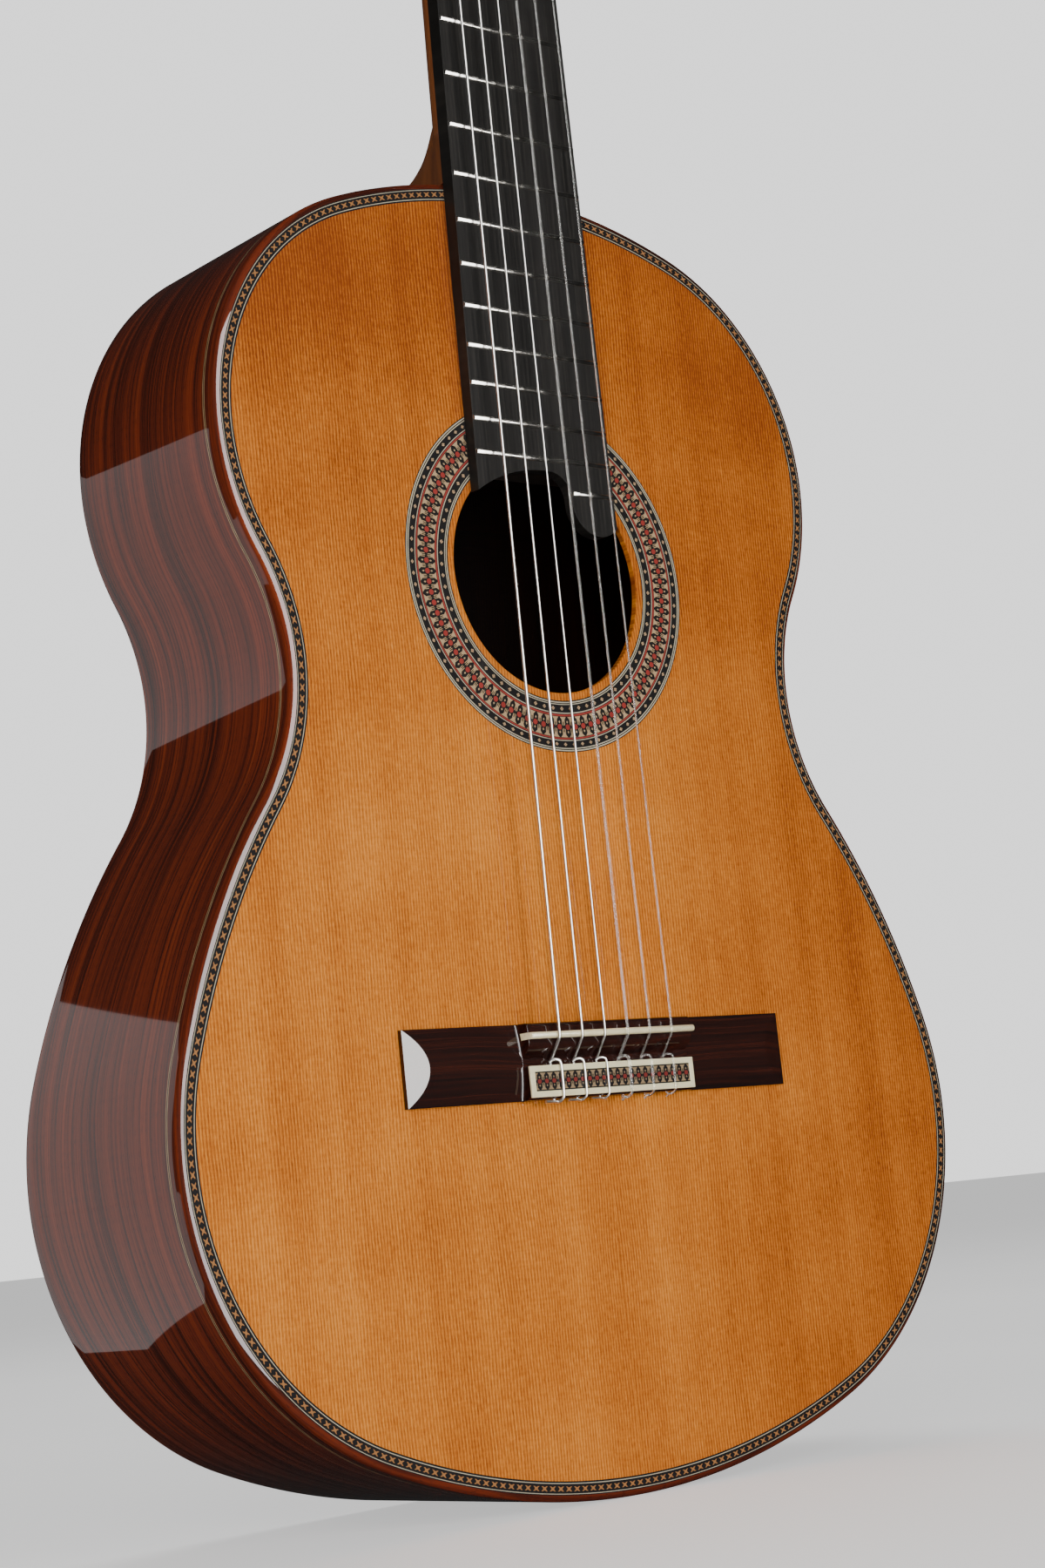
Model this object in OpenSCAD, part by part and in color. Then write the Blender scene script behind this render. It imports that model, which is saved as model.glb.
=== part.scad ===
// Classical guitar with a cedar front and rosewood back and sides.
// X runs across the guitar and grows towards the thin strings, Y grows from front to back, and Z runs up
// the neck. The origin is at the nut, on the centre line, in the plane of the soundboard's face.

/* [Scale and strings] */
// Length of the open strings, from the nut to the saddle
scale_length = 650; // [640:1:660]
// Half of the distance between the outer strings at the nut
nut_spread = 22; // [20.5:0.5:22.5]
// Half of the distance between the outer strings at the saddle
saddle_spread = 27.6; // [27:0.2:29]
// How far the strings sit towards the thin side at the nut
nut_shift = 1; // [0:0.5:1.5]
// Radius of each string, from the first to the sixth
string_radii = [0.36, 0.42, 0.52, 0.38, 0.46, 0.56]; // [0.3:0.02:0.6]

/* [Body outline] */
// Radius of the tail arc on the centre line
tail_radius = 294; // [285:1:305]
// Angle of the tail arc
tail_angle = 22.5; // [21:0.5:24]
// Radius of the lower bout
lower_radius = 118; // [114:1:122]
// Angle of the lower bout arc
lower_angle = 84.5; // [83:0.5:86]
// Radius of the flank between the lower bout and the waist
flank_radius = 296; // [280:1:310]
// Angle of the flank arc
flank_angle = 18.5; // [17.5:0.5:19.5]
// Radius of the hollow at the waist
waist_radius = 82; // [78:1:86]
// Angle of the waist arc
waist_angle = 64.5; // [63:0.5:66]
// Radius of the upper bout
upper_radius = 96; // [92:1:100]
// Angle of the upper bout arc
upper_angle = 98.5; // [97:0.5:100]

/* [Body depth] */
// Depth of the body on its centre line at the heel
heel_depth = 89; // [86:1:96]
// Depth of the body on its centre line at the tail
tail_depth = 105.5; // [98:0.5:108]
// Radius of the arch across the back
back_arch_radius = 6000; // [5000:500:9000]
// Thickness of the soundboard
soundboard_thickness = 2.6; // [2.4:0.1:3]
// Thickness of the back
back_thickness = 2.6; // [2.4:0.1:3]
// Thickness of the sides and width of the binding that caps their edges
side_thickness = 2.4; // [2:0.1:3]
// Depth of the binding down the side
binding_depth = 6; // [5:0.5:7]
// Height of the thin line that edges the binding
side_line_height = 1.2; // [0.8:0.1:1.6]
// Width of the purfling mosaic inside the binding
purfling_width = 4.8; // [4:0.2:5.4]
// Depth of the channel for the purfling and the rosette
inlay_depth = 1.6; // [1.2:0.1:1.8]

/* [Sound hole] */
// Distance from the nut to the centre of the sound hole
hole_distance = 477.2; // [475:0.2:480]
// Radius of the sound hole
hole_radius = 44.8; // [43:0.2:46]
// Inner radius of the rosette
rosette_inner = 47.8; // [47.2:0.2:48.4]
// Outer radius of the rosette
rosette_outer = 67.4; // [66:0.2:69]

/* [Neck] */
// Angle by which the neck leans forward from the soundboard's plane
neck_lean = 0.6; // [0.2:0.1:0.8]
// Width of the fingerboard at the nut
nut_width = 53.5; // [52:0.5:55]
// Width of the fingerboard at the body joint
joint_width = 63.4; // [62:0.2:65]
// Thickness of the fingerboard
board_thickness = 6; // [5.5:0.1:6.5]
// Height of the fret crowns
fret_height = 0.9; // [0.8:0.1:1.1]
// Depth of the neck's wood behind the nut
neck_depth_nut = 15.5; // [14.5:0.5:17]
// Depth of the neck's wood at the start of the heel
neck_depth_heel = 18; // [17:0.5:20]
// Fullness of the neck's section, 2 for an ellipse
shaft_power = 1.85; // [1.7:0.05:2.3]
// How quickly the heel's curve runs in under the neck
heel_sweep = 5; // [3:0.5:6]
// Length of the heel along the neck
heel_length = 47; // [42:1:60]
// Length of the heel cap
cap_length = 18; // [16:1:24]
// Width of the heel cap
cap_width = 28; // [24:1:32]

/* [Head] */
// Angle by which the head leans back from the neck
head_angle = 15; // [13:0.5:16]
// Length of the head
head_length = 188; // [184:1:194]
// Width of the head
head_width = 72; // [71:1:74]
// Thickness of the head's wood
head_thickness = 18; // [17:0.5:19]
// Thickness of the veneer on the head's face
veneer_thickness = 2.5; // [1.5:0.5:3]
// Distance from the nut to the first roller
first_roller = 60; // [58:1:62]
// Distance between rollers
roller_pitch = 35; // [35:0.1:35.4]

/* [Tuners] */
// Teeth on each gear wheel
gear_teeth = 14; // [13:1:16]
// Outer radius of a gear wheel
gear_radius = 7; // [6.6:0.1:7.2]
// Radius of the worm
worm_radius = 2.8; // [2.6:0.1:3]
// Radius of a roller
roller_radius = 5; // [4.8:0.1:5]
// Running clearance of the rollers and worms, all round
running_gap = 0.06; // [0.04:0.01:0.08]

/* [Bridge] */
// Length of the bridge across the soundboard
bridge_length = 183.4; // [180:0.2:190]
// Width of the bridge along the strings
bridge_width = 27.4; // [26:0.2:29]
// Height of the saddle's top above the soundboard
saddle_height = 10.6; // [9.5:0.1:11.5]
// Length of the saddle and of the tie block
saddle_length = 79.6; // [78:0.2:82]
// Height of the tie block
tie_height = 7.4; // [7:0.1:8]

/* [Hidden] */

// The outline's arcs from the tail to the upper bout: radius, negative where hollow, and angle
outline_arcs = [
    [tail_radius, tail_angle], [lower_radius, lower_angle], [flank_radius, flank_angle],
    [-waist_radius, waist_angle], [upper_radius, upper_angle]];
// Angle between neighbouring points of the outline
arc_step = 4;
joint_z = -scale_length / 2;
// The outline is drawn from the tail upwards, so its top gives the body's length
body_length = let (half = half_outline(0, 0)) half[len(half) - 1][1];
tail_z = joint_z - body_length;
back_slope = atan((tail_depth - heel_depth) / body_length);
back_reach = 200;
back_facets = 16;
cedar_inset = side_thickness + purfling_width;
lining_inset = side_thickness + 6;
lining_height = 14;
side_start = binding_depth + side_line_height;
side_line_width = 0.8;
strip_width = 3;
glue_line = 0.06;
// Half width of the slot in the heel block where the sides end
side_end = 12;
graft_half = 6;
hole_z = -hole_distance;
last_fret = 19;
// Half of the fingerboard's width grows by this much for each millimetre from the nut
board_taper = (joint_width - nut_width) / scale_length;
// The arc that ends the board at the sound hole, and the two arcs of the tongue beside it
board_end = hole_distance - 39.7;
board_end_radius = 59.5;
tongue_fillet = 10;
tongue_radius = 12.5;
tongue_x = 12.5;
tongue_fillet_z = -hole_distance + 29.5;
tongue_z = -hole_distance + 28.5;
nut_thickness = 5;
// Height of the strings' undersides over the fingerboard at the nut
nut_action = 1.5;
foot_half = 30;
foot_length = 38;
slot_inner = 7.5;
slot_outer = 23;
slot_start = 20;
slot_end = first_roller + 2 * roller_pitch + 15;
roller_depth = 8;
plate_thickness = 1.2;
plate_x = head_width / 2;
gear_x = plate_x + plate_thickness + 1.8;
gear_thickness = 3;
worm_x = gear_x + gear_thickness / 2;
worm_drop = gear_radius + worm_radius + 0.15;
worm_half = 5;
worm_shaft = 1.5;
lug_thickness = 1.6;
lug_half = 3.2;
button_start = head_thickness + 4;
button_length = 16;
saddle_z = -scale_length;
saddle_thickness = 2.4;
bridge_front = saddle_z + 4.7;
bridge_back = bridge_front - bridge_width;
tie_front = saddle_z - 10.6;
tie_back = saddle_z - 21.9;
tie_hole_height = 4.4;
tie_hole_radius = 0.85;
inlay_thickness = 1;
saddle_seat = 3.5;
wing_crown = 3.8;
wing_edge = 2;
wing_slope = 9.7;
block_half = saddle_length / 2;
// Where each string winds onto its roller, from the roller nearest the nut
roller_places = [18, 15, 13.5];
frame_border = 2.2;
eps = 0.01;
far = 400;

// ---- Outline of the body ----

function arc_points(start, heading, radius, angle, steps = 0) =
    let (centre = start + radius * [-sin(heading), cos(heading)],
         n = steps > 0 ? steps : ceil(angle / arc_step))
    [for (i = [1:n]) let (t = heading + sign(radius) * angle * i / n)
        centre + radius * [sin(t), -cos(t)]];

// Each arc starts where the last one ends; the closing arc is centred on the middle line
function outline_from(k, start, heading, inset) =
    k < len(outline_arcs)
    ? let (radius = outline_arcs[k][0] - inset,
           points = arc_points(start, heading, radius, outline_arcs[k][1]))
      concat(points, outline_from(k + 1, points[len(points) - 1],
          heading + sign(radius) * outline_arcs[k][1], inset))
    : arc_points(start, heading, start[0] / sin(heading), 180 - heading);

function half_outline(inset, base) =
    concat([[0, base + inset]], outline_from(0, [0, base + inset], 0, inset));

function full_outline(inset) =
    let (half = half_outline(inset, tail_z), n = len(half))
    concat(half, [for (i = [n - 2:-1:1]) [-half[i][0], half[i][1]]]);

// A flat shape drawn in X and Z, thickened from one depth to another
module slab(y0, y1) {
    translate([0, y1, 0]) rotate([90, 0, 0]) linear_extrude(y1 - y0) children();
}

module body_slab(inset, y0, y1) {
    slab(y0, y1) polygon(full_outline(inset));
}

module ring_slab(outer, inner, y0, y1) {
    difference() {
        body_slab(outer, y0, y1);
        body_slab(inner, y0 - 1, y1 + 1);
    }
}

// Everything in front of the arched back, moved forward by lift
module before_back(lift) {
    step = 2 * back_reach / back_facets;
    arch = [for (i = [0:back_facets]) let (x = back_reach - i * step)
        [x, -x * x / (2 * back_arch_radius) - lift]];
    translate([0, heel_depth, joint_z]) rotate([back_slope, 0, 0])
        translate([0, 0, -body_length - 60]) linear_extrude(body_length + 120)
            polygon(concat([[-back_reach, -far], [back_reach, -far]], arch));
}

// The half of the model on one side of the centre line, from a given distance outwards
module half_space(side, from = 0) {
    translate([side > 0 ? from : -far - from, -far, -2 * far - 200]) cube([far, 2 * far, 3 * far]);
}

// ---- Body ----

module soundboard() color("peru") {
    difference() {
        body_slab(side_thickness, 0, soundboard_thickness);
        ring_slab(side_thickness - 1, cedar_inset, -1, inlay_depth);
        rosette_ring(1);
        translate([0, 10, hole_z]) rotate([90, 0, 0]) cylinder(h = 20, r = hole_radius, $fn = 128);
    }
}

module rosette_ring(extra) {
    translate([0, inlay_depth, hole_z]) rotate([90, 0, 0]) difference() {
        cylinder(h = inlay_depth + extra, r = rosette_outer, $fn = 128);
        translate([0, 0, -1]) cylinder(h = inlay_depth + extra + 2, r = rosette_inner, $fn = 128);
    }
}

module rosette() color("sienna") rosette_ring(0);

// Both halves of a ring that is jointed on the centre line, with a glue line between them
module both_halves() {
    for (side = [-1, 1]) intersection() {
        children();
        half_space(side, glue_line / 2);
    }
}

module top_purfling() color("tan") both_halves()
    ring_slab(side_thickness, cedar_inset, 0, inlay_depth);

module top_binding() color("saddlebrown") both_halves()
    ring_slab(0, side_thickness, 0, binding_depth);

module side_purfling() color("burlywood") both_halves()
    ring_slab(0, side_line_width, binding_depth, side_start);

module back_binding() color("saddlebrown") both_halves() intersection() {
    difference() {
        ring_slab(0, side_thickness, heel_depth - 30, tail_depth + 5);
        before_back(binding_depth);
    }
    before_back(0);
}

// The ring that both sides and the end graft share, with a rebate for the thin line
module side_ring() {
    intersection() {
        union() {
            ring_slab(0, side_thickness, side_start, tail_depth);
            ring_slab(side_line_width, side_thickness, binding_depth, side_start + eps);
        }
        before_back(binding_depth);
    }
}

module side_half(side) {
    difference() {
        intersection() {
            side_ring();
            half_space(side);
        }
        translate([-graft_half, 0, tail_z - 10]) cube([2 * graft_half, far, 40]);
        translate([-side_end, 0, joint_z - 40]) cube([2 * side_end, far, 60]);
    }
}

module side_bass() color("maroon") side_half(-1);

module side_treble() color("maroon") side_half(1);

module end_graft() color("brown") intersection() {
    side_ring();
    translate([-graft_half, 0, tail_z - 10]) cube([2 * graft_half, far, 40]);
}

module back_plate() {
    intersection() {
        difference() {
            body_slab(side_thickness, heel_depth - 30, tail_depth + 5);
            before_back(back_thickness);
        }
        before_back(0);
    }
}

module back_bass() color("maroon") intersection() {
    back_plate();
    half_space(-1, strip_width / 2);
}

module back_treble() color("maroon") intersection() {
    back_plate();
    half_space(1, strip_width / 2);
}

module back_centre_strip() color("wheat") intersection() {
    back_plate();
    translate([-strip_width / 2, 0, tail_z - 10]) cube([strip_width, far, body_length + 20]);
}

// The space that the neck's foot takes inside the body
module foot_space() {
    translate([-foot_half, soundboard_thickness, joint_z - foot_length])
        cube([2 * foot_half, far, foot_length + 10]);
}

module tail_space() {
    translate([-38, soundboard_thickness, tail_z]) cube([76, far, 20]);
}

module linings() color("burlywood") both_halves() difference() {
    union() {
        ring_slab(side_thickness, lining_inset, soundboard_thickness,
            soundboard_thickness + lining_height);
        intersection() {
            difference() {
                ring_slab(side_thickness, lining_inset, 30, tail_depth + 5);
                before_back(back_thickness + lining_height);
            }
            before_back(back_thickness);
        }
    }
    foot_space();
    tail_space();
}

module tail_block() color("tan") intersection() {
    tail_space();
    body_slab(side_thickness, 0, far);
    before_back(back_thickness);
}

// Two cross bars beside the sound hole, seven fans under the bridge and two bars that close them
module top_braces() color("khaki") {
    intersection() {
        body_slab(lining_inset, 0, 30);
        for (z = [hole_z + 58, hole_z - 58])
            translate([-far / 2, soundboard_thickness, z - 3.5]) cube([far, 15, 7]);
    }
    for (i = [-3:3]) translate([12 * i, soundboard_thickness, hole_z - 66])
        rotate([0, -3.2 * i, 0]) translate([-2.5, 0, -198]) cube([5, 4.5, 195]);
    for (side = [-1, 1]) translate([0, soundboard_thickness, tail_z + 30])
        rotate([0, -24 * side, 0]) translate([side > 0 ? 4 : -92, 0, 0]) cube([88, 4.5, 5]);
}

module back_braces() color("khaki") intersection() {
    body_slab(lining_inset, 0, far);
    before_back(back_thickness);
    for (z = [joint_z - 82, joint_z - 205, joint_z - 355]) difference() {
        translate([-far / 2, 0, z - 3.5]) cube([far, far, 7]);
        before_back(back_thickness + 16);
    }
}

// ---- Neck ----

// The neck leans forward about the line where it meets the body
module leaned() {
    translate([0, 0, joint_z]) rotate([neck_lean, 0, 0]) translate([0, 0, -joint_z]) children();
}

function turn_x(p, a) = [p[0], p[1] * cos(a) - p[2] * sin(a), p[1] * sin(a) + p[2] * cos(a)];

function lean_point(p) = turn_x(p - [0, 0, joint_z], neck_lean) + [0, 0, joint_z];

function head_point(p) = lean_point(turn_x(p, -head_angle));

function board_half(d) = nut_width / 2 + board_taper * d;

// Depth of the heel's curve at a distance from the joint, and its reach along the neck at a depth
function heel_bottom(s) = s <= cap_length
    ? heel_depth
    : heel_depth - (heel_depth - neck_depth_heel)
        * pow(min(1, (s - cap_length) / (heel_length - cap_length)), 1 / heel_sweep);
function heel_reach(y) = cap_length + (heel_length - cap_length)
    * pow(min(1, (heel_depth - y) / (heel_depth - neck_depth_heel)), heel_sweep);
function heel_half(y, s) =
    let (at_joint = cap_width / 2
            + (joint_width / 2 - cap_width / 2) * pow(max(0, (heel_depth - y) / heel_depth), 2.5),
         part = s / heel_reach(y))
    part < 1 ? at_joint * sqrt(1 - part * part) : 0;
function shaft_depth(d) = neck_depth_nut
    + (neck_depth_heel - neck_depth_nut) * min(1, d / (scale_length / 2 - heel_length))
    + (d < 16 ? 4 * pow((16 - d) / 21, 2) : 0);
// The shaft's section is a flattened round that squares up where it runs into the head
function shaft_half(y, d) =
    let (power = d < 20 ? shaft_power + 4 * pow((20 - d) / 25, 2) : shaft_power,
         part = min(1, y / shaft_depth(d)))
    board_half(d) * pow(1 - pow(part, power), 1 / power);
function neck_ring(d) =
    let (s = scale_length / 2 - d, n = 14,
         bottom = s < heel_length ? max(heel_bottom(max(0, s)), shaft_depth(d)) : shaft_depth(d),
         side = [for (k = [0:n]) let (y = bottom * sin(90 * k / n))
             [max(shaft_half(y, d), s < heel_length ? heel_half(y, max(0, s)) : 0), y]])
    concat([for (p = side) [p[0] + eps, p[1], -d]],
        [for (k = [n:-1:0]) [-side[k][0] - eps, side[k][1], -d]]);

// Joins rings of points into one closed solid
module skin(rings) {
    n = len(rings[0]);
    m = len(rings);
    faces = concat(
        [[for (k = [n - 1:-1:0]) k]],
        [for (j = [0:m - 2], k = [0:n - 1]) let (a = j * n + k, b = j * n + (k + 1) % n)
            [a, b, b + n]],
        [for (j = [0:m - 2], k = [0:n - 1]) let (a = j * n + k, b = j * n + (k + 1) % n)
            [a, b + n, a + n]],
        [[for (k = [0:n - 1]) (m - 1) * n + k]]);
    polyhedron([for (ring = rings, p = ring) p], faces);
}

module neck() color("chocolate") {
    half_scale = scale_length / 2;
    stations = concat([-nut_thickness, 0, 6, 12, 20], [60, 140, half_scale - heel_length],
        [for (k = [1:6]) half_scale - cap_length
            - (heel_length - cap_length) * pow(1 - k / 10, heel_sweep)],
        [for (s = [cap_length - 0.15, cap_length - 4, cap_length / 2, 4, -6]) half_scale - s]);
    difference() {
        leaned() skin([for (d = stations) neck_ring(d)]);
        body_slab(0, -10, far);
        cap_shape(1);
    }
    intersection() {
        body_slab(side_thickness, 0, far);
        foot_space();
        before_back(back_thickness);
    }
    intersection() {
        difference() {
            body_slab(0, side_start, far);
            body_slab(side_thickness, 0, 2 * far);
        }
        translate([-side_end, 0, joint_z - 20]) cube([2 * side_end, far, 40]);
        before_back(binding_depth);
    }
}

module cap_shape(extra) {
    difference() {
        slab(heel_depth - 2.8, heel_depth + extra) polygon(concat(
            [[-cap_width / 2 - extra, joint_z - 6], [cap_width / 2 + extra, joint_z - 6]],
            [for (a = [0:10:180]) [(cap_width / 2 + extra) * cos(a),
                joint_z + (cap_length + extra) * sin(a)]]));
        body_slab(0, 0, far);
    }
}

module heel_cap() color("maroon") cap_shape(0);

module board_shape() {
    right = board_half(hole_distance);
    left_half = board_half(board_end);
    arc_half = asin(left_half / board_end_radius);
    fillet_half = asin(2.5 / board_end_radius);
    tongue_end = acos((right - 2 * tongue_x) / tongue_radius);
    polygon(concat(
        [[nut_width / 2, 0], [-nut_width / 2, 0]],
        [for (i = [0:10]) let (a = -arc_half + (arc_half + fillet_half) * i / 10)
            [board_end_radius * sin(a), -board_end - board_end_radius * (1 - cos(a))]],
        [for (a = [80:-10:0]) [2.5 + tongue_fillet * cos(a), tongue_fillet_z + tongue_fillet * sin(a)]],
        [for (i = [0:12]) let (a = 180 + (180 - tongue_end) * i / 12)
            [2 * tongue_x + tongue_radius * cos(a), tongue_z + tongue_radius * sin(a)]]));
}

function fret_distance(n) = scale_length * (1 - pow(2, -n / 12));

module fret_slots(gap) {
    for (n = [1:last_fret + 1]) translate([-far / 2, -board_thickness - 1, -fret_distance(n) - 0.3])
        cube([far, 2.8 + gap, 0.6]);
}

module fingerboard() color("black") difference() {
    leaned() difference() {
        slab(-board_thickness, 0) board_shape();
        fret_slots(0);
    }
    slab(0, far) square(4 * far, center = true);
}

// A rounded crown on a thin tang, cut to the width of the board
module fret(n) {
    d = fret_distance(n);
    half = board_half(d) - 0.2;
    start = n > last_fret ? tongue_x + 0.2 : -half;
    profile = [[0.3, 1.8], [0.3, 0], [1.1, 0], [0.9, -0.5], [0.5, -0.8], [0, -fret_height],
        [-0.5, -0.8], [-0.9, -0.5], [-1.1, 0], [-0.3, 0], [-0.3, 1.8]];
    translate([start, -board_thickness, -d]) rotate([90, 0, 90]) linear_extrude(half - start)
        polygon([for (p = profile) [p[1], p[0]]]);
}

module frets() color("silver") leaned() for (n = [1:last_fret + 1]) fret(n);

function string_x(i, spread) = spread * (3.5 - i) / 2.5;

module nut() color("ivory") leaned() difference() {
    rotate([90, 0, 90]) translate([0, 0, -nut_width / 2]) linear_extrude(nut_width)
        polygon([[0, 0], [0, nut_thickness], [-7.2, nut_thickness], [-8.4, 3], [-8.4, 0]]);
    for (i = [1:6]) let (r = string_radii[i - 1])
        translate([nut_shift + string_x(i, nut_spread) - r - 0.05, -12, -1])
            cube([2 * r + 0.1, 12 - board_thickness - nut_action + 0.05, nut_thickness + 2]);
}

// ---- Head and tuners ----

module on_head() {
    leaned() rotate([-head_angle, 0, 0]) children();
}

module head_shape() {
    half = head_width / 2;
    scoop = 10;
    crown = 14;
    flare = [for (a = [0:15:90])
        [board_half(0) + (half - board_half(0)) * (1 - cos(a)), 6 + 20 * sin(a)]];
    shoulder = [for (a = [270:-15:180])
        [half + scoop * cos(a), head_length - crown + scoop * sin(a)]];
    crest = [for (i = [1:8]) let (part = 1 - i / 8)
        [(half - scoop) * part, head_length - crown * part * part]];
    right = concat([[board_half(0), 0]], flare, shoulder, crest);
    polygon(concat(right, [for (i = [len(right) - 2:-1:0]) [-right[i][0], right[i][1]]]));
}

module head_slots() {
    middle = (slot_inner + slot_outer) / 2;
    end_radius = (slot_outer - slot_inner) / 2;
    for (side = [-1, 1]) translate([side * middle, -10, 0]) {
        translate([-end_radius, 0, slot_start + end_radius])
            cube([2 * end_radius, 40, slot_end - slot_start - 2 * end_radius]);
        for (z = [slot_start + end_radius, slot_end - end_radius])
            translate([0, 0, z]) rotate([-90, 0, 0]) cylinder(h = 40, r = end_radius, $fn = 48);
    }
}

function roller_z(i) = first_roller + roller_pitch * (i <= 3 ? i - 1 : 6 - i);

function side_of(i) = i <= 3 ? 1 : -1;

// A rod along X on the side of string i, between two distances from the centre line
module side_rod(i, x0, x1, r) {
    translate([side_of(i) > 0 ? x0 : -x1, roller_depth, roller_z(i)]) rotate([0, 90, 0])
        cylinder(h = x1 - x0, r = r, $fn = 48);
}

module screw_places() {
    for (side = [-1, 1], z = [first_roller - 20, first_roller + roller_pitch / 2 + 1.5,
            first_roller + 1.5 * roller_pitch + 1.5, first_roller + 2 * roller_pitch + 11])
        translate([side * plate_x, roller_depth, z]) rotate([0, side * 90, 0]) children();
}

module nut_side() {
    leaned() translate([-far / 2, -far / 2, -far + nut_thickness]) cube([far, far, far]);
}

module headstock() color("chocolate") difference() {
    on_head() difference() {
        slab(0, head_thickness) head_shape();
        head_slots();
        for (i = [1:6]) {
            side_rod(i, slot_inner + 1, plate_x + 1, roller_radius + running_gap);
            side_rod(i, slot_inner - 4, slot_inner + 2, 2.5 + running_gap);
        }
        screw_places() translate([0, 0, -9]) cylinder(h = 10, r = 1.1, $fn = 24);
    }
    nut_side();
}

module head_veneer() color("maroon") difference() {
    on_head() difference() {
        slab(-veneer_thickness, 0) head_shape();
        head_slots();
    }
    nut_side();
}

module tuner_plate(side) {
    first = side > 0 ? 1 : 4;
    difference() {
        union() {
            translate([side > 0 ? plate_x : -plate_x - plate_thickness, roller_depth - 7.5,
                    first_roller - 25])
                cube([plate_thickness, 15, 2 * roller_pitch + 41]);
            for (i = [first:first + 2], y = [roller_depth - worm_half - lug_thickness - 0.2,
                    roller_depth + worm_half + 0.2])
                translate([side > 0 ? plate_x + 0.6 : -worm_x - 2.4, y,
                        roller_z(i) - worm_drop - lug_half])
                    cube([worm_x + 2.4 - plate_x - 0.6, lug_thickness, 2 * lug_half]);
        }
        for (i = [first:first + 2]) {
            side_rod(i, plate_x - 1, plate_x + 3, 2 + running_gap);
            worm_rod(i, -1, 20, worm_shaft + running_gap);
        }
        screw_places() cylinder(h = 4, r = 1.1, center = true, $fn = 24);
    }
}

// A rod on the worm's axis, which runs front to back beside the head
module worm_rod(i, y0, y1, r) {
    translate([side_of(i) * worm_x, y0, roller_z(i) - worm_drop]) rotate([-90, 0, 0])
        cylinder(h = y1 - y0, r = r, $fn = 48);
}

module tuner_plate_bass() color("gold") on_head() tuner_plate(-1);

module tuner_plate_treble() color("gold") on_head() tuner_plate(1);

module tuner_screws() color("gold") on_head() screw_places() {
    translate([0, 0, -9]) cylinder(h = 9 + plate_thickness, r = 1.1, $fn = 24);
    translate([0, 0, plate_thickness]) cylinder(h = 0.8, r = 2, $fn = 24);
}

module tuner_worm(i) color("gold") on_head() {
    worm_rod(i, roller_depth - worm_half, roller_depth + worm_half, worm_radius);
    worm_rod(i, roller_depth - worm_half - 1.8, button_start, worm_shaft);
}

// The knob is a flat oval that turns on the worm's shaft
module tuner_button(i) color("black") on_head()
    translate([side_of(i) * worm_x, button_start, roller_z(i) - worm_drop]) intersection() {
        translate([-5, 0, 0]) rotate([90, 0, 90]) linear_extrude(10) polygon(concat(
            [[0, -3.2], [button_length / 2, -9.2]],
            [for (a = [-90:15:90]) [button_length / 2 + button_length / 2 * cos(a), 9.2 * sin(a)]],
            [[0, 3.2]]));
        rotate([-90, 0, 0]) cylinder(h = button_length, r = 9.4, $fn = 48);
    }

module tuner_gear(i) color("gold") on_head()
    translate([side_of(i) > 0 ? gear_x : -gear_x - gear_thickness, roller_depth, roller_z(i)])
        rotate([90, 0, 90]) linear_extrude(gear_thickness) polygon([
            for (k = [0:gear_teeth - 1], part = [[0, 0], [0.18, 1], [0.5, 1], [0.68, 0]])
                let (a = 360 * (k + part[0]) / gear_teeth, r = gear_radius - 1.5 * (1 - part[1]))
                r * [cos(a), sin(a)]]);

module tuner_roller(i) color("ivory") on_head() {
    side_rod(i, slot_inner + 1.4, plate_x - 0.1, roller_radius);
    side_rod(i, slot_inner - 3.6, slot_inner + 1.4 + eps, 2.5);
    side_rod(i, plate_x - 0.1 - eps, gear_x, 2);
}

module tuner_worm_1() tuner_worm(1);
module tuner_worm_2() tuner_worm(2);
module tuner_worm_3() tuner_worm(3);
module tuner_worm_4() tuner_worm(4);
module tuner_worm_5() tuner_worm(5);
module tuner_worm_6() tuner_worm(6);
module tuner_button_1() tuner_button(1);
module tuner_button_2() tuner_button(2);
module tuner_button_3() tuner_button(3);
module tuner_button_4() tuner_button(4);
module tuner_button_5() tuner_button(5);
module tuner_button_6() tuner_button(6);
module tuner_gear_1() tuner_gear(1);
module tuner_gear_2() tuner_gear(2);
module tuner_gear_3() tuner_gear(3);
module tuner_gear_4() tuner_gear(4);
module tuner_gear_5() tuner_gear(5);
module tuner_gear_6() tuner_gear(6);
module tuner_roller_1() tuner_roller(1);
module tuner_roller_2() tuner_roller(2);
module tuner_roller_3() tuner_roller(3);
module tuner_roller_4() tuner_roller(4);
module tuner_roller_5() tuner_roller(5);
module tuner_roller_6() tuner_roller(6);

// ---- Bridge ----

module bridge() color("maroon") {
    middle_z = (bridge_front + bridge_back) / 2;
    difference() {
        union() {
            wings(middle_z);
            centre_block();
        }
        translate([-saddle_length / 2, -20, saddle_z - saddle_thickness / 2])
            cube([saddle_length, 20 - saddle_seat, saddle_thickness]);
        for (i = [1:6]) translate([string_x(i, saddle_spread), -tie_hole_height, bridge_back - 1])
            cylinder(h = tie_front - bridge_back + 2, r = tie_hole_radius, $fn = 24);
    }
}

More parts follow.
